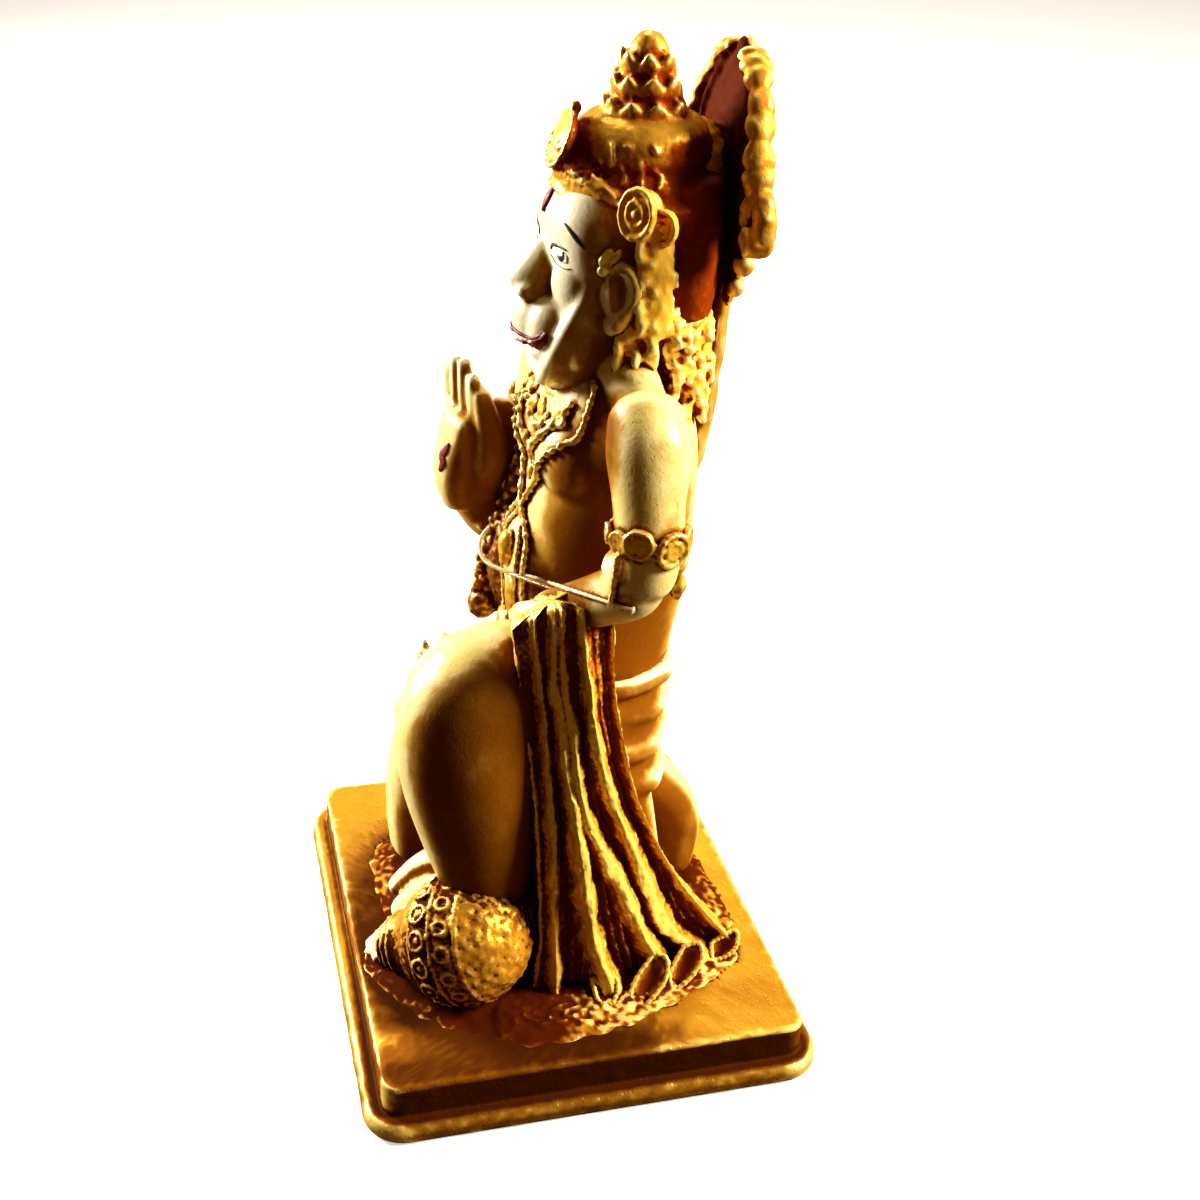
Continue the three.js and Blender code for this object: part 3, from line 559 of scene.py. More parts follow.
@dataclass
class Legs:
    """The raised left knee, the right leg on the ground, and the cloth cast round both."""

    def left(self) -> list[Piece]:
        """The raised knee, its shin and its foot."""
        toes = ((18.6, -48.6), (15.4, -50.2), (12.2, -49.6), (9.6, -47.2))
        return [
            limb([(16, -10, 84, 14, 14), (19, -20, 84, 16, 16), (21, -25, 76, 16.5, 18.5), (22, -25, 62, 16.5, 18),
                  (22.5, -23.5, 46, 15, 15.5), (23, -22, 30, 12.5, 12), (23, -22, 18, 9, 9.5)], FRONT, 64, 64),
            limb([(14, 6, 72, 15), (19, -18, 78, 14)], segments=40),
            limb([(20, -18, 5, 6.5, 5), (20, -32, 6, 7.5, 5.5), (20, -45, 4, 6.5, 3.5)], segments=24),
            *[egg((x, y, 2.4), (1.9, 3.0, 2.0), (0, 0, 12)) for x, y in toes],
            limb([(17, -44, 2.6, 5, 2.2), (12, -45, 2.4, 3.4, 1.9)], segments=20),
        ]

    def right(self) -> list[Piece]:
        """The knee, shin and upright foot on the far side."""
        return [
            limb([(-13, 8, 66, 17), (-18, -10, 58, 17), (-22, -24, 38, 15.5), (-24, -28.5, 18, 12.5),
                  (-24, -29, 7, 11)], segments=48, rings=48, ends=0.5),
            limb([(-24, -26, 9, 10), (-13, 12, 11, 10), (-5, 36, 9, 7)], segments=32),
            limb([(-18, -6, 26, 13), (-12, 12, 27, 13), (-7, 28, 20, 9)], segments=32),
            limb([(-5, 26, 37, 9, 8), (-5, 35, 28, 8.5, 7), (-5, 39, 18, 8, 6.5), (-5, 38, 6, 8, 6)], BACK, 32),
        ]

    def cloth(self) -> list[Piece]:
        """The loincloth over the hips, its rolled edge and the folds that hang behind and before."""
        folds = [limb([(27, 2, 84, 2.4), (24.5, 15, 83, 2.6), (13, 27, 82, 2.8), (-13, 27, 82, 2.8),
                       (-24.5, 15, 83, 2.6), (-27, 2, 84, 2.4)], segments=14, rings=60)]
        for row in (((27, 6, 76, 2.6), (20, 20, 73, 3.4), (8, 27.5, 72, 3.2)),
                    ((29, 8, 66, 2.6), (22, 19, 63, 3.6), (10, 26.5, 65, 3.2)),
                    ((28, 12, 56, 2.2), (22, 21, 52, 3.2), (12, 26, 53, 3)),
                    ((-27, 6, 76, 2.6), (-20, 20, 73, 3.4), (-8, 27.5, 72, 3.2)),
                    ((-27, 8, 64, 2.6), (-20, 20, 61, 3.4), (-8, 27.5, 62, 3.2)),
                    ((20, -32, 80, 1.2), (14, -38, 84, 1.8), (8, -34, 92, 1.2)),
                    ((26, -30, 84, 1.0), (18, -36, 88, 1.6), (10, -30, 95, 1.0)),
                    ((24, -36, 74, 1.0), (14, -42, 76, 1.6), (8, -38, 84, 1.0))):
            folds.append(limb(row, segments=12, rings=32))
        for places in (((18, -24, 24), (9, -33, 17), (4, -41, 6)), ((14, -26, 30), (3, -34, 20), (-5, -40, 7)),
                       ((24, -28, 22), (16, -38, 14), (12, -45, 5))):
            folds.append(limb([(*p, 4.2, 3.2) for p in places], segments=16))
        for x in (-7.5, -3.8, 0, 3.6):
            folds.append(limb([(x, -9.5, 74, 1.6), (1.05 * x, -11.6, 60, 1.9), (0.9 * x - 0.4, -10.4, 46, 1.9),
                               (0.6 * x - 1, -8, 34, 1.4)], segments=12, rings=32))
        return [
            limb([(0, 9, 50, 27, 19), (0, 9.5, 76, 26.5, 19.5)], FRONT, 56, 32),
            limb([(-2, -7, 78, 9, 3), (-2, -9, 62, 9.5, 3.2), (-2, -8, 48, 8, 3), (-2, -6.5, 34, 4.5, 2.2)],
                 FRONT, 32, 32, 0.4),
            limb([(15, 11, 56, 14, 11), (12, 16, 24, 13, 12), (10, 18, 5, 13, 12)], BACK, 40, 32),
            *folds,
        ]


@dataclass
class Head:
    """The monkey's head: a rounded muzzle, a long nose, a heavy brow, ears and a ridge along the jaw."""

    rows: tuple[Row, ...] = (
        (154, 8, 8, 9, 8), (160, 8, 13.5, 12, 12), (168, 9.5, 16.5, 12.5, 15), (178, 10, 18.8, 12.6, 17),
        (190, 10, 20.2, 14.2, 19), (198, 11.5, 19.2, 15.6, 18.6), (204, 13, 15.5, 13.5, 15))
    grain: float = 0.5

    def build(self) -> Piece:
        """The head, cast as one."""
        forms = [
            stack(self.rows, 96, 56, 2.9),
            limb([(0, 0.5, 196.5, 1.8, 3.4), (0, -1.2, 190.5, 2.8, 3.6), (0, -4.2, 184.6, 4.6, 5.0),
                  (0, -6.8, 179.0, 5.6, 6.6)], FRONT, 40, 40, 0.35, roundness=1.6),
            egg((0, -4.2, 172.6), (9.0, 7.6, 7.6), segments=40, rings=28),
            egg((0, -3.6, 164.2), (6.5, 4.4, 2.8), segments=28, rings=20),
            egg((0, 0.2, 159.6), (8.5, 6.6, 5.2), segments=28, rings=20),
        ]
        for side in SIDES:
            forms += [
                egg((side * 3.9, -8.8, 179.4), (2.2, 2.8, 2.0)),
                egg((side * 6.4, -2.6, 171.8), (7.4, 6.8, 7.4), segments=36, rings=24),
                egg((side * 9, 1.5, 172.5), (9.5, 5.5, 11), segments=32, rings=24),
                egg((side * 11.5, -0.6, 183), (6.0, 3.4, 7.0), (0, 0, side * 24), 28, 20),
                egg((side * 9.8, -1.2, 190.2), (3.6, 2.0, 2.4), (0, 0, side * 20), 24, 16),
                limb(mirrored(side, [(17.0, 6.4, 188, 1.4, 4.5), (16.6, 5.4, 181, 2.4, 5.6), (15.8, 4.0, 176, 2.8, 6.4),
                                     (14.2, 2.2, 171, 3.0, 6.8), (11.4, 0.2, 166, 3.1, 6.6),
                                     (7.6, -0.6, 161.4, 3.1, 6.2), (3.0, -1.0, 158.2, 3.0, 5.8)]),
                     FRONT, 36, 48, roundness=2.8),
            ]
        face = fused("face", forms, self.grain, 9)
        lips = limb([(-7.5, -6.6, 170.6, 1.0), (-3.5, -9.8, 168.2, 1.4), (0, -10.4, 168.0, 1.5),
                     (3.5, -9.8, 168.2, 1.4), (7.5, -6.6, 170.6, 1.0)], segments=16)
        head = fused("head", [face, lips, *self.ear(1), *self.ear(-1)], self.grain, 3)
        carve(head, self.hollows)
        # Painted shade on the sides of the head.
        spray_painted_shade(head, 0.48, 0.85)
        return head

    def ear(self, side: int) -> list[Piece]:
        """An ear: a curled rim round a shell, and its lobe."""
        return [
            egg((side * 19.8, 8.4, 182.4), (2.8, 3.8, 6.2), (12, 0, side * -14)),
            limb(mirrored(side, [(20.0, 6.0, 187.4, 0.8), (20.8, 7.6, 189.2, 1.3), (21.6, 9.8, 188.8, 1.7),
                                 (22.2, 11.2, 185.8, 2.0), (22.2, 10.8, 182.4, 1.9), (21.6, 9.2, 179.0, 2.1),
                                 (20.8, 7.4, 176.6, 2.3), (20.2, 6.6, 175.2, 1.6)]), segments=14, rings=48),
        ]

    def hollows(self, points: Array, normals: Array) -> Array:
        """The hollows beside the nose, in the ears and between the lips."""
        x, y, z = np.abs(points[:, 0]), points[:, 1], points[:, 2]
        socket = np.exp(-((x - 6.6) / 1.8) ** 2 - ((z - 192) / 3.5) ** 2 - ((y + 2) / 4) ** 2)
        mouth = np.exp(-((z - 165.6 - 0.03 * x ** 2) / 0.9) ** 2 - (x / 7) ** 4 - ((y + 8) / 4) ** 2)
        shell = np.exp(-((y - 8.4) / 1.7) ** 2 - ((z - 184.2) / 3.6) ** 2) * np.clip((x - 18) / 2, 0, 1)
        cheek = np.exp(-((x - 11.5) / 2.0) ** 2 - ((z - 170) / 6.0) ** 2 - ((y + 1) / 5) ** 2)
        return -0.35 * socket - 1.3 * mouth - 0.8 * shell - 1.0 * cheek


@dataclass
class Tracer:
    """Lays brush strokes and raised lines on a surface along the photographer's line of sight.

    The far side of a symmetrical part takes the mirror image.
    """

    skin: BVHTree
    studio: Studio
    lift: float = 0.10

    def on_skin(self, u: float, v: float) -> Vector:
        """The place on the surface that a pixel of the frame shows, or the nearest one beside the line of sight."""
        start, heading = self.studio.sight(u, v)
        found = self.skin.ray_cast(Vector(start), Vector(heading))[0]
        if found is not None:
            return found
        reach = float(np.dot(-start, heading))
        tries = (Vector(start + heading * d) for d in np.linspace(reach - 260, reach + 60, 160))
        return min((self.skin.find_nearest(place) for place in tries), key=lambda hit: hit[3])[0]

    def line(self, places: Sequence[Row], side: int = 1, depth: float = 0.18, count: int = 36) -> Piece:
        """A stroke that follows the surface.

        Args:
            places: Pixels of the line, and the stroke's half width in millimetres there.
            side: 1 for the near side and -1 for the mirror image.
            depth: The stroke's half thickness.
            count: How many steps it has.

        Returns:
            The stroke.
        """
        return self.stroke(mirrored(side, [(*self.on_skin(u, v), w) for u, v, w in places]), depth, count)

    def smile(self, places: Sequence[Row], depth: float) -> Piece:
        """A stroke from the corner of the far side, which is a mirror image, round to the near corner."""
        near = [(*self.on_skin(u, v), w) for u, v, w in places]
        _, y, z, wide = near[0]
        return self.stroke([*mirrored(-1, near[::-1]), (0, y - 0.8, z - 0.6, wide + 0.2), *near], depth, 72)

    def stroke(self, rows: Sequence[Row], depth: float, count: int) -> Piece:
        """A stroke through places on the figure's axes, each with a half width, laid on the surface."""
        line, _ = walk(rows, count=count)
        seated, facing = [], np.zeros(3)
        for x, y, z, w in line:
            near, normal, _, _ = self.skin.find_nearest(Vector((x, y, z)))
            seated.append([*(np.array(near) + np.array(normal) * self.lift), max(w, 0.05), depth])
            facing += np.array(normal)
        return limb(seated, tuple(unit(facing)), 10, count, 1.0)


@dataclass
class FacePaint:
    """Brows, lashes, eyes, the mark on the brow, the lips and the teeth, laid on the face as thin paint."""

    tracer: Tracer

    def build(self) -> dict[str, Piece]:
        """All the strokes, one piece for each colour."""
        black, white, red = [], [], []
        line, smile = self.tracer.line, self.tracer.smile
        for side in SIDES:
            black += [
                line([(565.0, 223.5, 0.2), (569, 229, 0.38), (576, 238.5, 0.5), (584.5, 248.5, 0.3)], side),
                line([(551.3, 248.2, 0.3), (553.0, 244.2, 0.42), (558.6, 245.8, 0.38), (566, 250.2, 0.2)], side),
                line([(558.6, 255.4, 0.4), (560.6, 258.4, 0.75), (563.8, 257.0, 0.7), (563.6, 252.6, 0.4)], side),
                line([(551.2, 254, 0.08), (555.0, 261, 0.13), (563.6, 268.5, 0.13), (570.7, 268.8, 0.08)], side, 0.12),
            ]
            white.append(line([(553.5, 250.5, 0.6), (560, 255, 1.5), (567, 259.5, 1.0)], side, 0.12))
        red += [
            self.tracer.stroke([(0, -4, 203.4, 0.8), (0, -4, 201, 1.4), (0, -4, 199, 1.5), (0, -4, 197, 0.6)], 0.7, 36),
            smile([(526.0, 341.5, 0.8), (531, 344.3, 1.3), (537, 345, 1.6), (543, 342, 1.4), (547.5, 336, 0.4)], 0.4),
            smile([(527.5, 336.5, 0.4), (533, 338, 0.6), (539, 336.0, 0.6), (543, 333.0, 0.2)], 0.4),
            line([(449, 444, 0.5), (446, 450, 1.1), (442, 456, 1.3), (443, 462, 1.3), (440, 470, 0.6)], 1, 0.3),
        ]
        white.append(smile([(526.5, 339, 0.3), (530, 340.6, 0.4), (535, 341.2, 0.5), (540.5, 338.0, 0.5),
                            (544.5, 333.6, 0.3)], 0.5))
        return {name: joined(name, strokes) for name, strokes in
                (("painted_lines", black), ("painted_whites", white), ("painted_reds", red))}


# Crown, halo, hair and tail


@dataclass
class Crown:
    """A band that dips to the ears, a body with a roll on top, a tiered spire, a front disc and two bosses."""

    middle: float = 17.5
    band_reach: float = 20.2
    grain: float = 0.55
    boss_grain: float = 0.4

    def drop(self, angle: Array) -> Array:
        """How far the band's edge drops from the brow towards the ears."""
        return 4.5 * (1 - np.cos(np.minimum(2 * np.abs(angle), math.pi)))

    def band(self) -> Piece:
        """The band round the brow."""
        reach = self.band_reach
        profile = np.array([(0, 201.0), (reach - 1.8, 201.0), (reach - 0.2, 201.6), (reach + 0.7, 202.6),
                            (reach - 0.5, 203.6), (reach - 0.4, 208.6), (reach + 0.4, 209.8), (reach - 1.6, 211.5),
                            (0, 212)])
        steps = distances(profile)
        steps /= steps[-1]

        def place(t: Array, angle: Array) -> Array:
            """Places on the form, t from its start to its end and an angle round it."""
            radius, height = np.interp(t, steps, profile[:, 0]), np.interp(t, steps, profile[:, 1])
            return np.stack([radius * np.sin(angle), self.middle - radius * np.cos(angle), height - self.drop(angle)],
                            -1)

        piece = moulded(place, 96, 60)
        outward(piece)
        return piece

    def medallion(self, centre: Row, pointing: Row, radius: float, tall: float) -> Piece:
        """An oval boss with rings inside its rim, taller than it is wide."""
        profile = widened(radius, ((0, -1.6), (0.9, -1.6), (1, -0.6), (1, 0.5), (0.9, 1.1), (0.78, 0.9), (0.7, 0.3),
                                   (0.6, 0.5), (0.5, 1.1), (0.4, 1.0), (0.3, 0.4), (0.16, 1.1), (0, 1.3)))
        return stretched(turned(profile, centre, pointing, 40, 48), centre[2], tall)

    def spire(self) -> list[Piece]:
        """The thick roll on top and the spire, with its tiers of petals at the front and sides."""
        centre = (0, self.middle + 0.9, 0)
        forms = [
            turned([(0, 198), (18, 198), (17.6, 205), (15.4, 209), (14.4, 213), (13, 217), (0, 217)],
                   (0, self.middle, 0), segments=64),
            turned([(0, 208.2), (15.2, 208.2), (16.2, 209.4), (16.5, 211.2), (16.0, 213.4), (14.8, 215.6),
                    (13.0, 217.4), (11.0, 218.4), (0, 218.6)], (0, self.middle + 0.3, 0), segments=64, rings=40),
            turned([(0, 217), (9.4, 217), (9.2, 219.8), (7.9, 221.5), (7.8, 224.4), (6.2, 226), (6.2, 228.6),
                    (4.7, 230.2), (4.2, 232.6), (2.6, 235.0), (0, 236)], centre, segments=48, rings=48),
        ]
        for height, radius, count, size in ((219.4, 8.9, 8, 3.0), (224.6, 7.2, 7, 2.7), (229.4, 5.5, 6, 2.3)):
            petal = ((-0.4, -3.0, size, 0.9), (0.3, 0, size, 1.0), (0.6, 2.4, size * 0.35, 0.7))
            for angle in np.radians(np.linspace(-125, 125, count)):
                out = np.array([math.sin(angle), -math.cos(angle), 0])
                forms.append(limb([(*(out * (radius + bulge) + [0, centre[1], height + rise]), wide, thick)
                                   for bulge, rise, wide, thick in petal], tuple(out), 14, 16, 0.6))
        return forms

    def medallions(self) -> Piece:
        """The oval boss over each ear and the smaller one behind it."""
        forms = []
        for side in SIDES:
            forms += [
                self.medallion((side * 24.4, 10.2, 202.4), (side * 0.66, -0.72, 0.2), 4.6, 1.3),
                self.medallion((side * 23.2, 16.8, 198.8), (side * 0.74, -0.66, 0.1), 3.3, 1.25),
                egg((side * 20.8, 13.6, 202), (2.2, 3.4, 4.2)),
            ]
        bosses = fused("medallions", forms, self.boss_grain, 1)
        carve(bosses, lambda p, n: 0.16 * lumps(p, 1.4, 3))
        return bosses

    def build(self, studio: Studio) -> Piece:
        """The crown, cast as one."""
        forms = [
            self.band(), *self.spire(),
            turned([(0, -2.6), (2.6, -2.6), (5.6, -1.2), (7.0, -0.2), (7.2, 0.6), (6.6, 1.2), (5.4, 0.7), (4.2, 0.5),
                    (3.4, 0.9), (2.6, 0.6), (1.6, 1.2), (0, 1.5)], (0, -0.8, 212.8), (0, -1, 0.42), 40, 40),
            egg((0, 2.2, 219.6), (1.6, 1.4, 1.5)),
            limb([(0, 0.5, 211.5, 4.5, 4), (0, 7, 211, 6.5, 4.5)]),
            limb([(0, 26.5, 206, 18, 9.5), (0, 26.2, 196, 19.6, 10.2), (0, 25.6, 184, 20.6, 10.0),
                  (0, 25.0, 176.5, 20.8, 9.6)], BACK, 64, 48, 0.25),
            *[egg((side * 19.6, 12.5, 202.5), (2.6, 5.0, 4.2)) for side in SIDES],
        ]
        crown = fused("crown", forms, self.grain, 1)
        crown = fused("crown", [crown, *self.tracery(Tracer(surface_tree([crown]), studio, 0.25))], self.grain, 1)
        carve(crown, self.relief)
        # Painted shade on the crown's flanks and on front parts turned to the figure's left, such as the disc's side;
        # the back half turns maroon, partly as paint and partly as painted shade.
        _, y, z = points_of(crown).T
        aside = normals_of(crown)[:, 0]
        flank_shade = 0.55 * np.clip((np.abs(aside) - 0.5) / 0.4, 0, 1)
        back = np.clip((y - 17.5) / 3, 0, 1) * np.clip((217 - z) / 3, 0, 1)
        disc = np.clip((5 - y) / 2, 0, 1) * np.clip((z - 206) / 2, 0, 1) * np.clip(2 * aside, 0, 1)
        write_attribute(crown, "shade_and_wash_mask", np.maximum.reduce([flank_shade, back, disc]))
        return crown

    def tracery(self, tracer: Tracer) -> list[Piece]:
        """The low relief on the band: arcs, drops and short ribs, the same on both sides."""
        lines = (
            ((612.0, 142, 0.5), (613.5, 150, 0.6), (613.5, 160, 0.6), (611.5, 168, 0.4)),
            ((591.5, 160, 0.4), (589.5, 166, 0.5), (592.5, 171, 0.5), (597, 170, 0.4)),
            ((600.5, 158, 0.4), (602.5, 164, 0.5), (600.5, 169, 0.5)),
            ((592.5, 175, 0.4), (594.0, 180, 0.6), (598.0, 181, 0.6), (601.5, 176, 0.4)),
            ((640.0, 163, 0.5), (642.5, 173, 0.6), (641.0, 184, 0.6), (642.5, 193, 0.5)),
            ((626.0, 146, 0.6), (631.0, 147.5, 0.7)),
            ((653.5, 146, 0.5), (655.5, 150, 0.8), (657.0, 154, 0.5)),
            ((604.0, 188, 0.5), (612.0, 195, 0.6), (618, 205, 0.5)),
            ((622.0, 166, 0.5), (626.0, 176, 0.6), (624, 186, 0.5)),
            ((655.0, 170, 0.5), (661.0, 178, 0.6), (658, 190, 0.5)))
        return [tracer.line([(u, v, 0.75 * w) for u, v, w in line], side, 0.5, 18) for side in SIDES for line in lines]

    def relief(self, points: Array, normals: Array) -> Array:
        """The uneven skin of an old mould, rougher on the band's front."""
        front = np.clip((8 - points[:, 1]) / 8, 0, 1) * np.clip((214 - points[:, 2]) / 4, 0, 1)
        front = front * np.clip((points[:, 2] - 204) / 1.5, 0, 1)
        grooves = np.sin(3.0 * points[:, 2] + 1.5 * np.sin(0.9 * points[:, 0]))
        return 0.10 * lumps(points, 2.4, 1) + (0.05 + 0.12 * front) * lumps(points, 0.9, 2) + 0.14 * front * grooves


@dataclass
class Halo:
    """A pointed plate behind the crown with a lobed roll along its edge and a scroll at each side."""

    middle: float = 38.2
    thickness: float = 3.6
    rows: tuple[Row, ...] = ((9, 174), (13.5, 184), (18.5, 192), (21.5, 200), (22.6, 208), (21, 215), (17.2, 222),
                             (11, 228), (5, 231.2))
    grain: float = 0.6

    def plane(self, height: float) -> float:
        """Where the plate's middle is, which leans back above the band."""
        return self.middle + 0.16 * max(height - 214, 0)

    def plate(self) -> Piece:
        """The plate itself, whose face is dished towards the crown."""
        rows = [(x, self.plane(z), z) for x, z in self.rows]

        def place(t: Array, angle: Array) -> Array:
            """Places on the form, t from its start to its end and an angle round it."""
            row = along(rows, 1 - t)
            q = np.clip(np.minimum(t, 1 - t) / 0.04, 0, 1)
            return np.stack([row[:, 0] * np.cos(angle) * np.where(t < 0.5, 0.3 + 0.7 * q, 0.5 + 0.5 * q),
                             row[:, 1] + self.thickness / 2 * np.sin(angle) * q, row[:, 2]], -1)

        piece = moulded(place, 40, 80)
        outward(piece)
        return piece

    @staticmethod
    def lobes(s: Array, angle: Array) -> Array:
        """The swelling of the roll, lobe after lobe, for places along it and angles round it."""
        lobe = np.abs(np.sin(math.pi * (6.0 * s + 1.4 * s ** 3 + 0.2))) ** 0.6
        return 0.74 + 0.10 * np.sin(23 * s + 1) + 0.34 * lobe + 0.10 * np.cos(2 * angle + 9 * s)

    def build(self) -> Piece:
        """The halo, cast as one."""
        forms = [self.plate(), egg((0, 30, 204), (12, 10, 13), segments=32, rings=24)]
        middle = self.middle
        for side in (-1, 1):
            rim = [(side * (x + 0.2), self.plane(z) - 0.4, z, 2.3, 3.2)
                   for x, z in along(self.rows, np.linspace(0.36, 1.0, 12))]
            inner = [(side * x * 0.74, self.plane(z) - self.thickness / 2 - 0.1, z, 0.8, 0.7)
                     for x, z in self.rows[3:-1]]
            forms += [
                limb(rim, FRONT, 32, 130, wave=self.lobes),
                turned([(0, -3.4), (3, -3.4), (3.6, -2), (3.6, 2), (3, 3.4), (1.8, 2.9), (1.2, 3.6), (0, 3.8)],
                       (side * 25, middle - 0.6, 195.5), FRONT),
                limb([(side * 22, middle, 205, 2.6, 2.8), (side * 26.6, middle, 203, 2.8, 2.8),
                      (side * 28, middle, 197, 2.6, 2.8)], FRONT),
                egg((side * 16.5, middle, 187.5), (2.8, 2.6, 2.8)),
                egg((side * 12, middle, 181), (2.6, 2.4, 2.6)),
                limb(inner, FRONT, 12, 48),
            ]
        forms.append(egg((0, self.plane(231), 231.2), (3, 2.6, 3)))
        halo = fused("halo", forms, self.grain, 1)
        carve(halo, lambda p, n: 0.22 * lumps(p, 2.4, 4))
        # The face inside the rim, turned to the front, takes the dark maroon: partly the halo's paint, partly painted
        # shade where it faces the crown.
        points, normals = points_of(halo), normals_of(halo)
        width, height = np.asarray(self.rows, float).T
        inside = np.clip((np.interp(points[:, 2], height, width) - np.abs(points[:, 0]) - 0.5) / 1.5, 0, 1)
        write_attribute(halo, "shade_and_wash_mask", inside * np.clip(-2 * normals[:, 1] - 0.1, 0, 1))
        return halo


@dataclass
class HairAndTail:
    """The locks gathered behind the neck, and the tail that rises up the back to carry the halo."""

    tail_rows: tuple[Row, ...] = ((0, 26, 116, 7.5, 5), (0, 31, 129, 7, 4.2), (0, 34.8, 143, 6.6, 3.6),
                                  (0, 36.8, 162, 6.6, 3.4), (0, 38, 184, 8, 3))
    lock_rows: tuple[Row, ...] = ((174, 8, 22), (168, 8, 22.5), (161.5, 8, 22.5), (155, 7, 21))
    grain: float = 0.7
    veil_leaves: int = 34
    temple_curls: int = 11
    nape_leaves: int = 8

    def tail(self) -> Piece:
        """The tail, with the bands of fur across it."""
        piece = limb(self.tail_rows, BACK, 40, 80, wave=lambda s, a: 1 + 0.03 * np.sin(34 * s + np.sin(a)))
        smooth(titled("tail", piece))
        carve(piece, lambda p, n: 0.25 * lumps(p, 3.5, 6))
        return piece

    def gathered(self, rng: np.random.Generator) -> list[Piece]:
        """The rows of leaf-shaped locks round the nape."""
        leaves = []
        for row, (height, count, wide) in enumerate(self.lock_rows):
            number = round(count * 1.5)
            for i in range(number):
                angle = math.radians(-88 + 176 * (i + (row % 2) * 0.5) / (number - 0.5))
                out = unit(np.array([math.sin(angle) * 0.95, math.cos(angle) * 0.7, 0.1]))
                root = np.array([(wide - 2.6) * math.sin(angle), 20 + 12.4 * math.cos(angle),
                                 height + rng.uniform(-1.5, 1.5)])
                lean, fat = rng.uniform(-4.0, 4.0), rng.uniform(0.75, 1.25)
                across = np.array([-math.cos(angle), math.sin(angle), 0])
                leaf = ((0, 0, 3.6, 1.0, 1.0), (1.9, 0.3, 0, 2.1 * fat, 1.5 * fat), (2.7, 1, -3.0, 1.7 * fat, 1.4),
                        (3.6, 0.4, -4.6, 1.3, 1.0))
                leaves.append(limb([(*(root + out * off + across * lean * sway + [0, 0, rise]), half, thick)
                                    for off, sway, rise, half, thick in leaf], tuple(out), 12, 14, 0.8, roundness=1.6))
        return leaves

    def veil(self, side: int, rng: np.random.Generator) -> list[Piece]:
        """The curls behind an ear, before its top and under it."""
        leaves = []
        for _ in range(self.veil_leaves):
            y, z = rng.uniform(11.0, 20.5), rng.uniform(168, 199)
            x = 23.2 - 0.05 * (y - 14) ** 2
            curl = [(x - 0.8, y, z + 2.6, 0.5, 0.6), (x + 0.4, y + rng.uniform(-1, 1), z, 1.3, 1.0),
                    (x, y + rng.uniform(-1.6, 1.6), z - 2.8, 0.3, 0.5)]
            leaves.append(limb(mirrored(side, curl), (side, 0, 0), 10, 12, 0.9, roundness=1.4))
        for _ in range(self.temple_curls):
            y, z = rng.uniform(3.2, 8.2), rng.uniform(188.4, 193.6)
            leaves.append(egg((side * 20.1, y, z), (1.0, rng.uniform(0.6, 1.0), rng.uniform(1.1, 1.8)),
                              (rng.uniform(-40, 40), 0, 0), 10, 8))
        for i in range(self.nape_leaves):
            y, z = 8.4 + 0.9 * i, rng.uniform(168, 177)
            leaves.append(limb(mirrored(side, [(20.6, y, z + 4, 0.6, 0.6), (21.4, y + rng.uniform(-1, 1), z, 1.5, 1.1),
                                               (20.8, y + rng.uniform(-1.5, 1.5), z - 4.5, 0.4, 0.6)]),
                               (side, 0, 0), 12, 12, 0.9, roundness=1.4))
        return leaves

    def locks(self) -> Piece:
        """The leaf-shaped locks and the curls, cast as one."""
        rng = np.random.default_rng(11)
        forms = [limb([(0, 24, 150, 18, 8), (0, 25, 164, 20, 9), (0, 25, 192, 18, 10)], BACK, 40, 32)]
        leaves = self.gathered(rng)
        for side in SIDES:
            forms.append(limb(mirrored(side, [(21.4, 15.6, 199, 3.8, 2.4), (21.4, 16.0, 188, 4.6, 2.7),
                                              (21.0, 16.0, 174, 4.8, 2.6)]), (side, 0, 0), ends=0.5))
            leaves += self.veil(side, rng)
        hair = fused("hair_locks", [*forms, *leaves], self.grain, 0)
        carve(hair, lambda p, n: (0.5 - 0.32 * (p[:, 1] < 20)) * lumps(p, 1.7, 8))
        return hair


# Cloth


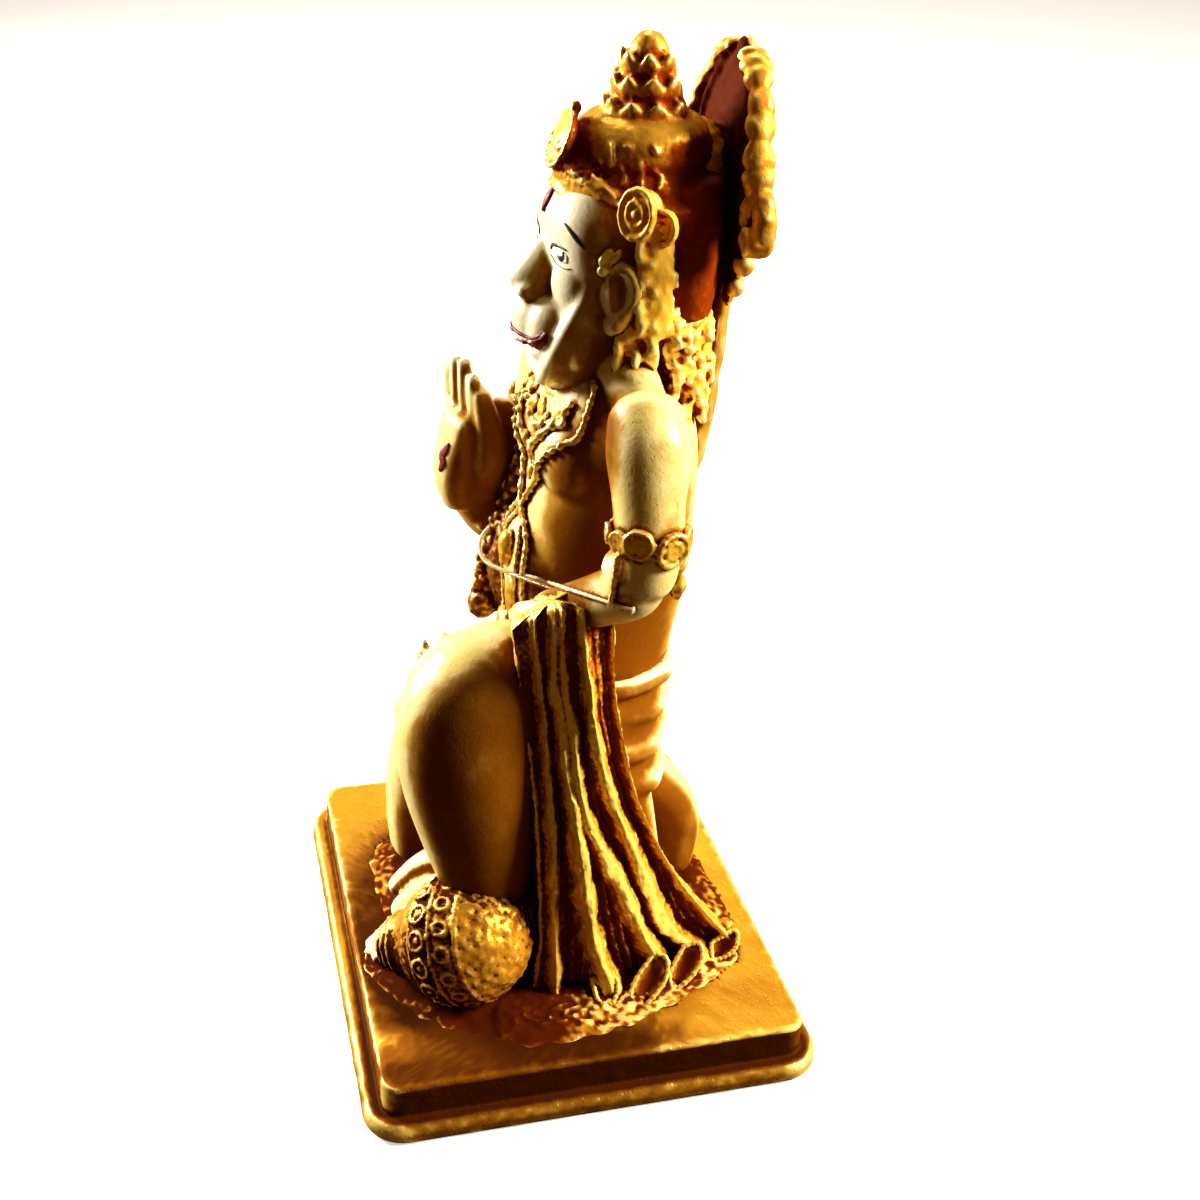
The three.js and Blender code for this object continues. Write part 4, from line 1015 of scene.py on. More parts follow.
@dataclass
class Shawl:
    """The shawl that hangs from the left forearm to the ground in pleats that sweep to the back.

    Each crest runs from the forearm to the ground; between two crests the cloth drops into a flat valley.
    """

    crests: tuple[tuple[Row, ...], ...] = (
        ((30, -17, 106), (31.5, -16, 98), (32, -15, 88), (34, -13, 71), (35, -11, 45), (36, -10, 16), (38, -12, 0)),
        ((33, -12.5, 110), (34.6, -11.5, 97), (35.8, -10, 82), (37.6, -8.6, 62), (39, -7.4, 44), (40, -7, 26),
         (42, -6.5, 0)),
        ((35.6, -8.2, 112.5), (36.4, -8, 93), (37.4, -6, 83), (39.4, -5, 69), (41.2, -3, 59), (43, -1, 44),
         (43.4, 1, 29), (43.5, 4, 15), (46, 8.5, 0)),
        ((36.6, -6.4, 113.5), (37.4, -5.6, 93), (38.6, -3.6, 83), (40.2, -2.2, 69), (40.8, 0.2, 57), (40.4, 4.6, 46),
         (41.2, 11, 32), (41.4, 16, 19), (40, 24, 0)),
        ((38, -2.2, 114.5), (39.8, -1, 100), (40.6, 0, 94), (41, 1.4, 83), (39.4, 5, 67), (38.8, 8.8, 55),
         (38.4, 12.6, 46), (37, 19, 27), (36, 25, 13), (37, 36, 0)),
        ((35.5, 6.5, 110), (36, 7.4, 89), (36, 10.4, 74), (35.8, 13.6, 60), (34.6, 19, 46), (33.6, 26, 31),
         (33.4, 35, 17), (32, 46, 0)))
    widths: tuple[Row, ...] = ((0.8, 1.2), (0.8, 1.0), (0.9, 3.4), (0.5, 3.2), (1.0, 3.6), (0.9, 1.6))
    depths: tuple[Row, ...] = ((1.4, 3.6), (2.0, 6.0), (0.6, 7.0), (1.8, 7.0), (2.2, 5.5))
    inward: Row = (-0.93, -0.05, -0.1)
    pocket_depth: float = 6.0

    def crest(self, number: int, t: Array) -> Array:
        """Places on a crest, from its top to the ground."""
        table = np.asarray(self.crests[number], float)
        height = table[0, 2] + (table[-1, 2] - table[0, 2]) * t
        points = along(table, np.interp(-height, -table[:, 2], np.arange(len(table))) / (len(table) - 1))
        points[:, 2] = height
        return points

    def half_width(self, number: Array, t: Array) -> Array:
        """Half the uneven width of the crests with these numbers, from their tops to the ground."""
        top, bottom = np.asarray(self.widths)[number].T
        uneven = 0.5 + 0.3 * np.sin(17 * t + 2.1 * number) * np.sin(31 * t + number)
        return (top + (bottom - top) * t) * uneven * 0.8

    def sheet(self, s: Array, t: Array) -> tuple[Array, Array]:
        """Places on the cloth, and how deep in a valley each lies, from 0 on a crest to 1."""
        lines = np.stack([self.crest(i, t) for i in range(len(self.crests))], 1)
        last = len(self.crests) - 1
        place = np.clip(s, 0, 1) * last
        i = np.minimum(place.astype(int), last - 1)
        f = place - i
        row, share = np.arange(len(s)), f[:, None]
        here, after = lines[row, i], lines[row, i + 1]
        curve = eased(lines[row, np.maximum(i - 1, 0)], here, after, lines[row, np.minimum(i + 2, last)], share)
        points = 0.75 * (here + (after - here) * share) + 0.25 * curve
        gap = np.linalg.norm(after - here, axis=1)
        near, far = self.half_width(i, t), self.half_width(i + 1, t)
        shore = 1.5 + 2.6 * t
        valley = np.minimum(np.clip((f * gap - near) / shore, 0, 1), np.clip(((1 - f) * gap - far) / shore, 0, 1))
        valley = valley * valley * (3 - 2 * valley)
        shallow, deep = np.asarray(self.depths)[i].T
        depth = np.minimum(shallow + (deep - shallow) * t, gap * 0.75)
        off_crest = np.minimum(f * gap / np.maximum(near, 0.3), (1 - f) * gap / np.maximum(far, 0.3))
        crown = 0.35 * (1 - np.clip(off_crest, 0, 1) ** 2)
        ripple = 0.12 * np.sin(2.2 * math.pi * f * np.maximum(gap, 2) / 3.0 + 4 * t) * valley
        return points + unit(self.inward) * (valley * depth * (1 + ripple) - crown)[:, None], valley

    def hem(self, tracer: Tracer) -> Piece:
        """The ends of the folds where the hem meets the ground, each a rim with a painted highlight round a pocket
        painted in shade.
        """
        parts = []
        for outline in (
                [(654.5, 953), (667, 959), (665, 980), (644, 1006), (631, 1001), (635.5, 980)],
                [(684, 946.5), (699, 943.5), (702, 959), (690, 978), (673.5, 989), (670.5, 972)],
                [(711.5, 942.5), (734.5, 930.5), (737.5, 942.5), (730.5, 953), (713.5, 959.5)],
                [(592, 978), (604, 984), (614, 977), (618, 988), (611, 1004), (598, 1000)]):
            sights = [tracer.studio.sight(u, v) for u, v in outline]
            facing = unit(np.mean([heading for _, heading in sights], axis=0))
            depth = min(float(np.dot(tracer.on_skin(u, v), facing)) for u, v in outline) + 1.0
            corners = [start + heading * (depth - np.dot(start, facing)) / np.dot(heading, facing)
                       for start, heading in sights]
            rim, _ = walk([*corners, corners[0]], count=48)
            roll = limb([(*row, 0.5 + 0.25 * math.sin(1.9 * k) ** 2) for k, row in enumerate(rim)],
                        tuple(facing), 10, 96, 0.3)
            # The rim takes the painted highlight.
            write_attribute(roll, "shade_and_wash_mask", np.zeros(len(roll.data.vertices)))
            parts += [roll, self.pocket(rim[:-1], facing)]
        hem = joined("shawl_hem", parts)
        carve(hem, lambda p, n: 0.12 * lumps(p, 1.5, 19))
        return hem

    def pocket(self, rim: Array, facing: Array) -> Piece:
        """A plug of cloth behind a rim, dished at its front."""
        middle, count = rim.mean(axis=0), len(rim)
        rings = [middle + (rim - middle) * share + facing * back
                 for share, back in ((1.0, self.pocket_depth), (1.0, 0.2), (0.75, 1.0), (0.35, 1.5))]
        points = np.concatenate([*rings, [middle + facing * self.pocket_depth], [middle + facing * 1.6]])
        faces = [[r * count + k, r * count + (k + 1) % count, (r + 1) * count + (k + 1) % count, (r + 1) * count + k]
                 for r in range(len(rings) - 1) for k in range(count)]
        faces += [[(k + 1) % count, k, len(points) - 2] for k in range(count)]
        faces += [[3 * count + k, 3 * count + (k + 1) % count, len(points) - 1] for k in range(count)]
        piece = new_piece("pocket", points, faces)
        outward(piece)
        # The pocket is painted in full shade.
        write_attribute(piece, "shade_and_wash_mask", np.ones(len(points)))
        return piece

    def build(self) -> Piece:
        """The cloth, thick at its back as it is cast."""
        lip = 0.03
        valleys: list[Array] = []

        def place(t: Array, angle: Array) -> Array:
            """Places on the form, t from its start to its end and an angle round it."""
            around = angle / math.pi
            outer, s = around >= 0, np.abs(around)
            down = np.clip((t - lip) / (1 - 2 * lip), 0, 1)
            points, valley = self.sheet(s, down)
            q = np.clip(np.minimum(t, 1 - t) / lip, 0, 1)
            rise = np.clip(np.minimum(s, 1 - s) / 0.035, 0, 1)
            points[~outer, 0] -= ((8 + 5 * down) * rise)[~outer]
            middle = self.sheet(np.full(len(t), 0.5), down)[0] - [4, 0, 0]
            points = middle + (points - middle) * (np.where(q > 0, 0.35, 0) + 0.65 * np.sqrt(q))[:, None]
            points[:, 2] += (1 - q) * np.where(t < 0.5, 1.2, 0)
            valleys.append(np.where(outer, valley, 0.6) * q)
            return points

        piece = titled("shawl", moulded(place, 440, 200))
        # The mask is the valleys' depth: their brown wash is partly patina and partly painted shade, and the crests,
        # where it is low, take the painted highlight.
        write_attribute(piece, "shade_and_wash_mask", valleys[0])
        outward(piece)
        apply_modifier(piece, "SMOOTH", factor=0.5, iterations=2)
        smooth(piece)
        carve(piece, lambda p, n: 0.34 * lumps(p * [1, 1, 0.5], 2.4, 12) + 0.2 * lumps(p, 1.1, 13))
        return piece


# Mace, ground and plinth


@dataclass
class Mace:
    """The mace's round head, carved in rings, and its pointed tip."""

    centre: Row = (32, -28.5, 16.5)
    pointing: Row = (-0.48, -0.8, -0.36)
    ball: float = 17.0
    grain: float = 0.55

    def build(self) -> Piece:
        """The mace head with its carving, cast as one."""
        ahead = unit(np.asarray(self.pointing, float))
        side = unit(np.cross(ahead, (0, 0, 1)))
        up = np.cross(side, ahead)
        centre = np.asarray(self.centre, float)

        def across(angle: float) -> Array:
            """The direction across the axis at an angle round it."""
            return side * math.cos(angle) + up * math.sin(angle)

        def outwards(latitude: float, count: int) -> list[Array]:
            """Even directions round the axis at a latitude."""
            return [unit(across(2 * math.pi * i / count) * math.cos(latitude) + ahead * math.sin(latitude))
                    for i in range(count)]

        def hoop(rise: float, radius: float, wide: float, steps: int, rings: int) -> Piece:
            """A raised ring round the axis."""
            middle = centre + ahead * rise
            loop = [(*(middle + across(angle) * radius), wide) for angle in np.linspace(0, 2 * math.pi, steps)]
            return limb(loop, tuple(ahead), 10, rings, 0.2)

        forms = [turned([(0, -17.6), (6.5, -16.4), (12, -12.6), (15.8, -7), (17.0, 0), (16.1, 6), (13.2, 11.4),
                         (9.6, 15.2), (8.6, 18), (7.0, 20.6), (4.2, 24.2), (0, 26.6)], centre, ahead, 64, 64)]
        roundel = ((0, -1.5), (2.2, -1.5), (2.9, -0.2), (2.7, 1.0), (2.2, 1.1), (1.7, -0.1), (1.3, -0.2), (0.9, 0.9),
                   (0, 1.0))
        bezel = ((0, -1.5), (1.9, -1.5), (2.4, 0), (1.8, 0.8), (1.1, -0.1), (0, 0.2))
        for latitude, count, shape, lift in ((0.29, 15, roundel, 16.9), (-0.12, 16, bezel, 16.8)):
            forms += [turned(shape, centre + out * lift, out, 20, 20) for out in outwards(latitude, count)]
        for out in (*outwards(0.62, 22), *outwards(0.80, 18)):
            run = unit(ahead - out * np.dot(ahead, out)) * 1.1
            middle = centre + out * 16.4
            forms.append(limb([(*(middle - run), 0.7), (*(middle + run), 0.5)], tuple(out), 10, 10, 0.8))
        forms += [hoop(self.ball * math.sin(latitude), self.ball * math.cos(latitude), wide, 33, 120)
                  for latitude, wide in ((0.08, 0.6), (0.5, 0.6), (-0.34, 0.7))]
        forms += [hoop(rise, radius, 0.9, 25, 80) for rise, radius in ((18.4, 8.1), (20.8, 6.8), (23.2, 5.0))]
        mace = fused("mace", forms, self.grain, 1)

        def rough(points: Array, normals: Array) -> Array:
            """The uneven skin, roughest at the end away from the tip."""
            back = np.clip(-((points - centre) @ ahead) / 6 - 0.6, 0, 1)
            return (0.12 + 0.16 * back) * lumps(points, 2.0, 15) + 0.1 * lumps(points, 0.8, 16)

        carve(mace, rough)
        # Painted shade on the mace's side turned to the figure's left, growing towards its tip.
        near = np.clip(normals_of(mace)[:, 0] * 1.4, 0, 1)
        write_attribute(mace, "shade_and_wash_mask", near * np.clip(((points_of(mace) - centre) @ ahead) / 12 + 0.3, 0, 1))
        return mace


@dataclass
class Ground:
    """The rough ground that the figure is cast with, its edge broken and crusty."""

    reach: tuple[Row, ...] = ((0, -46), (14, -53), (26, -52.5), (40, -43), (50, -31), (57, -18), (58, -4), (56, 8),
                              (53, 17), (46, 32), (38, 44), (22, 49), (4, 50), (-14, 47), (-28, 36), (-36, 18),
                              (-40, 0), (-41, -20), (-38, -38), (-24, -47))
    top: float = 2.8
    shade_pools: tuple[Row, ...] = ((50, -14, 2, 12), (46, -27, 2, 9))

    def build(self) -> Piece:
        """The ground."""
        loop = [*self.reach, self.reach[0]]
        shoulder, foot = 0.82, 0.94

        def place(t: Array, angle: Array) -> Array:
            """Places on the form, t from its start to its end and an angle round it."""
            rim = along(loop, (angle / (2 * math.pi)) % 1.0)
            down = np.clip((t - shoulder) / (foot - shoulder), 0, 1)
            share = np.where(t < shoulder, 0.85 * np.clip(t / shoulder, 0, 1), 0.85 + 0.14 * down)
            share = np.where(t > foot, 0.99 * (1 - t) / (1 - foot), share)
            return np.stack([rim[:, 0] * share, rim[:, 1] * share, self.top - 3.3 * down], -1)

        piece = titled("ground", moulded(place, 300, 150))
        outward(piece)
        points = points_of(piece)
        x, y, z = points.T
        edge = np.clip((np.hypot(x, y) - 34) / 18, 0, 1)
        hem = edge * np.clip((x - 10) / 25, 0, 1) * np.clip((y + 30) / 20, 0, 1)
        rough = lumps(points, 4.5, 20) * 0.6 + lumps(points, 1.7, 21) * (0.2 + 0.45 * hem)
        height = np.where(hem > 0.3, 2.6, 2.2) - 0.9 * edge
        raised = np.clip(z / self.top, 0, 1) * np.maximum(height + rough * (0.4 + 0.5 * hem), 0.4)
        points[:, 2] = np.where(z > 0, raised, z)
        points[:, :2] *= (1 + 0.02 * lumps(points * [1, 1, 0], 5.0, 22) * edge)[:, None]
        move_points(piece, points)
        # The mask darkens the whole ground; crumbs at the edge lower it and take the painted highlight, except near the
        # shade pools by the mace and the shawl, which keep the painted shade.
        crumbs = np.clip(1.6 * edge - 0.2, 0, 1) * (0.35 + 0.9 * lumps(points, 1.7, 21) + 0.5 * hem)
        away = np.minimum.reduce([np.linalg.norm(points - pool[:3], axis=1) / pool[3] for pool in self.shade_pools])
        write_attribute(piece, "shade_and_wash_mask", np.clip(0.9 - crumbs * (1 - np.exp(-away ** 4)), 0, 1))
        smooth(piece)
        return piece


@dataclass
class Plinth:
    """A slab with a rounded rim on a wider flange, brushed with gold over a dark ground, with painted shade on its
    sides and round the figure.
    """

    length: float = 130
    width: float = 110
    slab: float = 9
    flange: float = 5.5
    flange_width: float = 4.5
    corner: float = 5
    rim: float = 2.4
    core: float = 60

    def ring(self, inset: Array, angle: Array) -> Array:
        """Points of a rounded rectangle, set in from the flange's edge, for angles round it."""
        half = np.array([self.length / 2, self.width / 2]) + self.flange_width
        radius = np.maximum(self.corner + 1.3 * (self.flange_width - inset), 0.8)
        hx, hy = half[0] - inset - radius, half[1] - inset - radius
        quarter = math.pi / 2 * radius
        place = ((angle / (2 * math.pi)) % 1.0) * (4 * (hx + hy) + 4 * quarter)
        out = np.zeros((len(angle), 2))
        start = np.zeros(len(angle))
        for dx, dy, cx, cy in ((0, 1, 1, 1), (-1, 0, -1, 1), (0, -1, -1, -1), (1, 0, 1, -1)):
            run = 2 * (hy if dy else hx)
            bent = place - start - run
            edge = (bent <= 0) & (bent >= -run)
            out[edge] = np.stack([cx * hx + dx * bent + dy * radius, cy * hy + dy * bent - dx * radius], -1)[edge]
            bend = (bent > 0) & (bent <= quarter + 1e-9)
            theta = math.atan2(-dx, dy) + bent / radius
            out[bend] = np.stack([cx * hx + radius * np.cos(theta), cy * hy + radius * np.sin(theta)], -1)[bend]
            start = start + run + quarter
        return out

    def profile(self) -> Array:
        """Inset and height down the middle of the underside, up over both rims and back to the middle of the top."""
        rows = [(self.core, -PLINTH_TOP), (1.2, -PLINTH_TOP), (0, 1.2 - PLINTH_TOP)]
        steps = ((0.0, self.flange, self.rim), (self.flange_width, self.flange + self.slab, 0.5 * self.rim))
        for inset, top, rim in steps:
            if inset:
                rows.append((inset, self.flange - PLINTH_TOP))
            rows += [(inset + rim * (1 - math.cos(a)), top - PLINTH_TOP - rim * (1 - math.sin(a)))
                     for a in np.linspace(0, math.pi / 2, 7)]
        return np.asarray([*rows, (self.core, 0.0)], float)

    def build(self) -> Piece:
        """The plinth, with the uneven skin of its casting and where painted shade lies on it."""
        table = self.profile()
        steps = distances(table)
        steps /= steps[-1]
        rounded = self.flange_width + self.rim

        def place(t: Array, angle: Array) -> Array:
            """Places on the form, t from its start to its end and an angle round it."""
            warped = np.interp(t, [0, 0.25, 0.62, 1], [0, steps[1], steps[-2], 1])
            inset = np.interp(warped, steps, table[:, 0])
            middle = np.clip((inset - rounded) / (self.core - rounded), 0, 1)
            flat = self.ring(np.minimum(inset, rounded), angle)
            return np.concatenate([flat * (1 - middle)[:, None], np.interp(warped, steps, table[:, 1])[:, None]], -1)

        def uneven(points: Array, normals: Array) -> Array:
            """The lumps of the skin, which the flat underside doesn't have."""
            skin = 0.10 * lumps(points, 5, 30) + 0.06 * lumps(points, 1.7, 31) - 0.16
            return np.where(points[:, 2] > 0.5 - PLINTH_TOP, skin, 0.0)

        piece = titled("plinth_casting", moulded(place, 300, 100))
        outward(piece)
        smooth(piece)
        carve(piece, uneven)
        # Painted shade: on the sides, less on those turned to the figure's front, on the top round the figure, on the
        # flange's left half, and on the top near its left edge.
        normals = normals_of(piece)
        x, y, z = points_of(piece).T
        side_shade = np.clip(1.2 - 2.2 * normals[:, 2], 0, 1) * (0.4 + 0.6 * np.clip((z + 9.3) / 0.8, 0, 1))
        side_shade *= 1 - 0.5 * np.clip(-normals[:, 1], 0, 1)
        away = np.hypot((x - 8) / 54, y / 54)
        near = 0.8 * np.clip((1.4 - away) / 0.4, 0, 1) * np.clip(0.8 - y / 60, 0, 1) * (z > -0.6)
        flange = 0.55 * (z < -7.5) * np.clip(x / 60, 0, 1)
        front = 0.8 * np.clip((x - 38) / 20, 0, 1) * np.clip((45 - y) / 40, 0, 1) * (z > -1.3)
        write_attribute(piece, "shade_and_wash_mask", np.maximum.reduce([side_shade, near, flange, front]))
        return piece


# Jewellery


@dataclass
class Jewels:
    """Armlets, collar, chains, pendants and tassels, all cast and gilded."""

    trunk: Trunk
    skin: BVHTree
    grain: float = 0.5

    def bead(self, radius: float) -> Piece:
        """One bead, modelled round its own origin."""
        bpy.ops.mesh.primitive_uv_sphere_add(segments=12, ring_count=8, radius=1.0)
        bead = bpy.context.object
        move_points(bead, vectors(bead.data.vertices, "co") * radius)
        return bead

    def nearest(self, place: Row) -> tuple[Array, Array]:
        """The place on the skin nearest to another, and the skin's normal there."""
        near, normal, _, _ = self.skin.find_nearest(Vector(place))
        return np.array(near), np.array(normal)

    def string(self, points: Sequence[Row], radius: float, spacing: float = 1.75, alternate: float = 1.0,
               lift: float | None = 0.4) -> Piece:
        """A string of beads.

        Args:
            points: The points that it runs through.
            radius: The beads' radius.
            spacing: Their distance, in radii.
            alternate: Every other bead's size, in shares of the radius.
            lift: How far their middles stand off the skin, in radii, or None to leave them where they are.

        Returns:
            The string.
        """
        places, ahead = walk(points, radius * spacing)
        if lift is not None:
            places = [near + normal * (radius * lift) for near, normal in map(self.nearest, places)]
        frames = [seat(place, self.nearest(place)[1], direction, 1.0 if i % 2 else alternate)
                  for i, (place, direction) in enumerate(zip(places, ahead))]
        return copies(self.bead(radius), frames)

    def pendant(self, centre: Row, length: float, wide: float) -> Piece:
        """A drop with a raised rim and a stone, set on the skin."""
        near, normal = self.nearest(centre)
        profile = widened(wide, ((0, -0.8), (0.9, -0.8), (1, 0.3), (0.8, 0.9), (0.55, 0.3), (0.4, 0.8), (0, 1.1)))
        return stretched(turned(profile, near, normal, 18, 14), near[2], length / wide)

    def disc(self, centre: Row, pointing: Row, radius: float, ribs: int = 0) -> Piece:
        """A round plate of an armlet with a rim, a groove and an inner ring."""
        ripple = (lambda t, a: 1 + 0.05 * np.cos(ribs * a)) if ribs else None
        profile = widened(radius, ((0, -1.2), (0.94, -1.2), (1, -0.3), (1, 0.7), (0.9, 1.3), (0.78, 1.2), (0.7, 0.1),
                                   (0.58, 0.1), (0.5, 1.15), (0.38, 1.15), (0.3, 0.1), (0.16, 0.9), (0, 1.05)))
        return turned(profile, centre, pointing, 40, 48, ripple)

    def armlet(self, side: int) -> list[Piece]:
        """A band of discs round an upper arm."""
        centre = np.array([side * 40.2, 12 if side > 0 else 8, 134.0])
        wide = 8.7 if side > 0 else 10.3
        forms = [turned([(0, -2.0), (wide, -2.0), (wide + 0.6, -1.5), (wide + 0.2, -0.8), (wide + 0.1, 0.8),
                         (wide + 0.6, 1.5), (wide, 2.0), (0, 2.0)], centre, (side * 0.12, -0.08, 1), 64, 40)]
        for degrees, radius, rise, ribs in ((-100, 2.6, 0, 0), (-62, 3.0, 0.4, 0), (-30, 3.7, 1.2, 0),
                                            (22, 4.5, -0.6, 16), (62, 3.4, -0.4, 0)):
            angle = math.radians(degrees)
            out = np.array([side * math.cos(angle), math.sin(angle), 0.0])
            forms.append(self.disc(centre + out * wide + [0, 0, rise], out, radius, ribs))
        return forms

    def tassels(self) -> list[Piece]:
        """The string of beads and the tassel that hang from the left armlet."""
        return [
            self.string([(45.5, 3.5, 131), (45.4, 3.2, 127), (44.6, 3, 122), (43, 3, 118)], 0.95, 1.7, lift=None),
            limb([(44, 17, 131, 1.2), (43.5, 18, 127, 1.9), (43, 18.6, 124, 1.2), (42.6, 18.8, 121.5, 2.3),
                  (42, 19, 118, 1.2)], (1, 0, 0), 20, 32,
                 wave=lambda s, a: 1 + 0.12 * np.cos(7 * a) * np.clip(2 * s - 0.6, 0, 1)),
            egg((42.8, 14.5, 124.4), (1.6, 1.6, 2.4)),
        ]

    def chains(self) -> list[Piece]:
        """The collar, the two chains that cross the chest and open round the belly, and the pendants."""
        on = self.trunk.on
        forms = [turned([(0, -2.2), (14.2, -2.2), (15.1, -1.2), (14.9, 0.6), (13.8, 1.8), (0, 1.8)], (0, 11.0, 158.0),
                        (0, -0.36, 1), 72, 40)]
        for side in SIDES:
            for start, places, radius, spacing, alternate, lift in (
                    ([(side * 16, 6, 161)], ((42, 150), (26, 141), (12, 132), (2, 124)), 1.15, 1.5, 0.8, 0.7),
                    ([], ((2, 124), (20, 117), (28, 106), (24, 94), (12, 88)), 1.1, 1.6, 0.75, 0.7),
                    ([], ((2, 122), (14, 115), (18, 106), (14, 97), (3, 92)), 0.8, 1.6, 1.0, 0.6)):
                line = [*start, *[on(side * degrees, height) for degrees, height in places]]
                forms.append(self.string(line, radius, spacing, alternate, lift))
        for places, radius, alternate in ((((34, 155), (20, 148), (0, 144.5), (-20, 148), (-34, 155)), 1.3, 0.7),
                                          (((28, 150), (14, 142), (0, 139), (-14, 142), (-28, 150)), 1.0, 1.3)):
            forms.append(self.string([on(*place) for place in places], radius, 1.7, alternate, 0.6))
        for degrees, height, length, wide in ((0, 148.5, 3.4, 2.6), (11, 147, 2.8, 2.0), (-11, 147, 2.8, 2.0),
                                              (20, 150, 2.4, 1.8), (-20, 150, 2.4, 1.8), (0, 141.5, 3.6, 2.2),
                                              (9, 139.5, 2.6, 1.7), (-9, 139.5, 2.6, 1.7), (5, 136, 2.2, 1.5),
                                              (-5, 136, 2.2, 1.5), (0, 132.5, 2.4, 1.6)):
            forms.append(self.pendant(on(degrees, height), length, wide))
        for place, radii in (((0, 112, 1.2), (3.6, 2.6, 5.0)), ((4, 92, 1.0), (5.4, 2.6, 3.8)),
                             ((12, 101, 0.6), (3.4, 1.6, 6.0))):
            forms.append(egg(on(*place), radii))
        return forms

    def build(self) -> Piece:
        """All of the gilded jewellery, cast as one."""
        forms = [*self.chains(), *self.armlet(1), *self.armlet(-1), *self.tassels()]
        gold = fused("jewellery", forms, self.grain, 1)
        carve(gold, lambda p, n: 0.14 * lumps(p, 1.6, 40))
        return gold


@dataclass
class Garland:
    """The red-brown garland of small blossoms that hangs down the figure's right side to the waist."""

    trunk: Trunk
    grain: float = 0.55
    petals: int = 4

    def build(self) -> Piece:
        """The garland."""
        on = self.trunk.on
        line = [(-16, 4, 160), on(-42, 147, 1), on(-40, 132, 1), on(-38, 118, 3), on(-34, 103, 6.5), on(-30, 91, 8)]
        rng = np.random.default_rng(5)
        stem = [(*place, wide) for place, wide in zip(line, (2.2, 2.3, 2.3, 2.3, 2.3, 2.3))]
        forms = [limb(stem, segments=16, rings=60)]
        for i, (place, direction) in enumerate(zip(*walk(line, 2.5))):
            side, up, _ = frame_about(direction)
            for k in range(self.petals):
                a = 2 * math.pi * k / self.petals + i * 0.8
                out = side * math.cos(a) + up * math.sin(a)
                centre = place + out * 1.9 + rng.uniform(-0.3, 0.3, 3)
                forms.append(egg(centre, (1.35, 1.35, 1.35), segments=10, rings=7))
        forms.append(egg(on(-29, 88, 8), (3.9, 3.9, 4.2)))
        forms.append(limb([(-13, -4, 112, 7, 7), (-13, -5, 99, 8.4, 9.6), (-13, -5, 88, 7, 7)], FRONT))
        garland = fused("garland", forms, self.grain, 1)
        carve(garland, lambda p, n: 0.25 * lumps(p, 1.5, 44))
        return garland


@dataclass
class WaistThread:
    """The metallic thread drawn tight round the waist, over the garland."""

    radius: float = 0.6
    route: tuple[Row, ...] = ((0, -17.8), (9, -13.8), (17.5, -6.6), (23.8, 2), (24.6, 11.5), (21.6, 22), (13.5, 30.2),
                              (0, 34.8), (-13.5, 30.2), (-21.6, 22), (-24.6, 11), (-23.8, 1), (-20.3, -8),
                              (-16.5, -13.2), (-9, -17.2))
    steps: int = 900
    twists: int = 150

    def build(self) -> Piece:
        """The thread, a closed loop of two twisted strands."""
        loop = [(x, y, 109 - 0.03 * x + 2.0 * math.exp(-((x - 14) / 7) ** 2) * (y < 0)) for x, y in self.route]
        ring = [loop[-1], *loop, loop[0], loop[1]]
        steps, corners = self.steps, 6
        u = np.arange(steps) / steps
        middle = along(ring, (1 + u * len(loop)) / (len(ring) - 1))
        ahead = unit(np.roll(middle, -1, axis=0) - np.roll(middle, 1, axis=0))
        side = unit(np.cross(ahead, (0, 0, 1)))
        up = np.cross(side, ahead)
        around = np.linspace(0, 2 * math.pi, corners, endpoint=False)
        hoop = side[:, None] * np.cos(around)[:, None] + up[:, None] * np.sin(around)[:, None]
        faces = [[i * corners + k, i * corners + (k + 1) % corners, (i + 1) % steps * corners + (k + 1) % corners,
                  (i + 1) % steps * corners + k] for i in range(steps) for k in range(corners)]
        strands = []
        for strand in range(2):
            spin = 2 * math.pi * self.twists * u + math.pi * strand
            core = middle + (side * np.cos(spin)[:, None] + up * np.sin(spin)[:, None]) * self.radius * 0.42
            strands.append(new_piece("strand", (core[:, None] + hoop * self.radius * 0.56).reshape(-1, 3), faces))
            outward(strands[-1])
        thread = joined("tied_thread", strands)
        smooth(thread)
        return thread

    def end(self, tracer: Tracer) -> Piece:
        """The thread's loose end, drawn from the loop over the belly and up on the forearm, and its small knot."""
        hits = [tracer.on_skin(500 + 128 * share, 566.5 + 43 * share) for share in np.linspace(0.2, 1, 9)]
        rows = [(*(np.array(hit) + [0.5, -0.35, 0.5]), 0.48) for hit in hits]
        rows.append((*(np.array(rows[-1][:3]) + [0.3, 1.0, -0.3]), 0.95))
        piece = limb(rows, segments=10, rings=90, wave=lambda s, a: 1 + 0.15 * np.cos(2 * a + 160 * s))
        smooth(titled("thread_end", piece))
        return piece


# Patina and painted shade: how sheltered each place of the casting is, which is where the brown wash and the painted
# shade stay


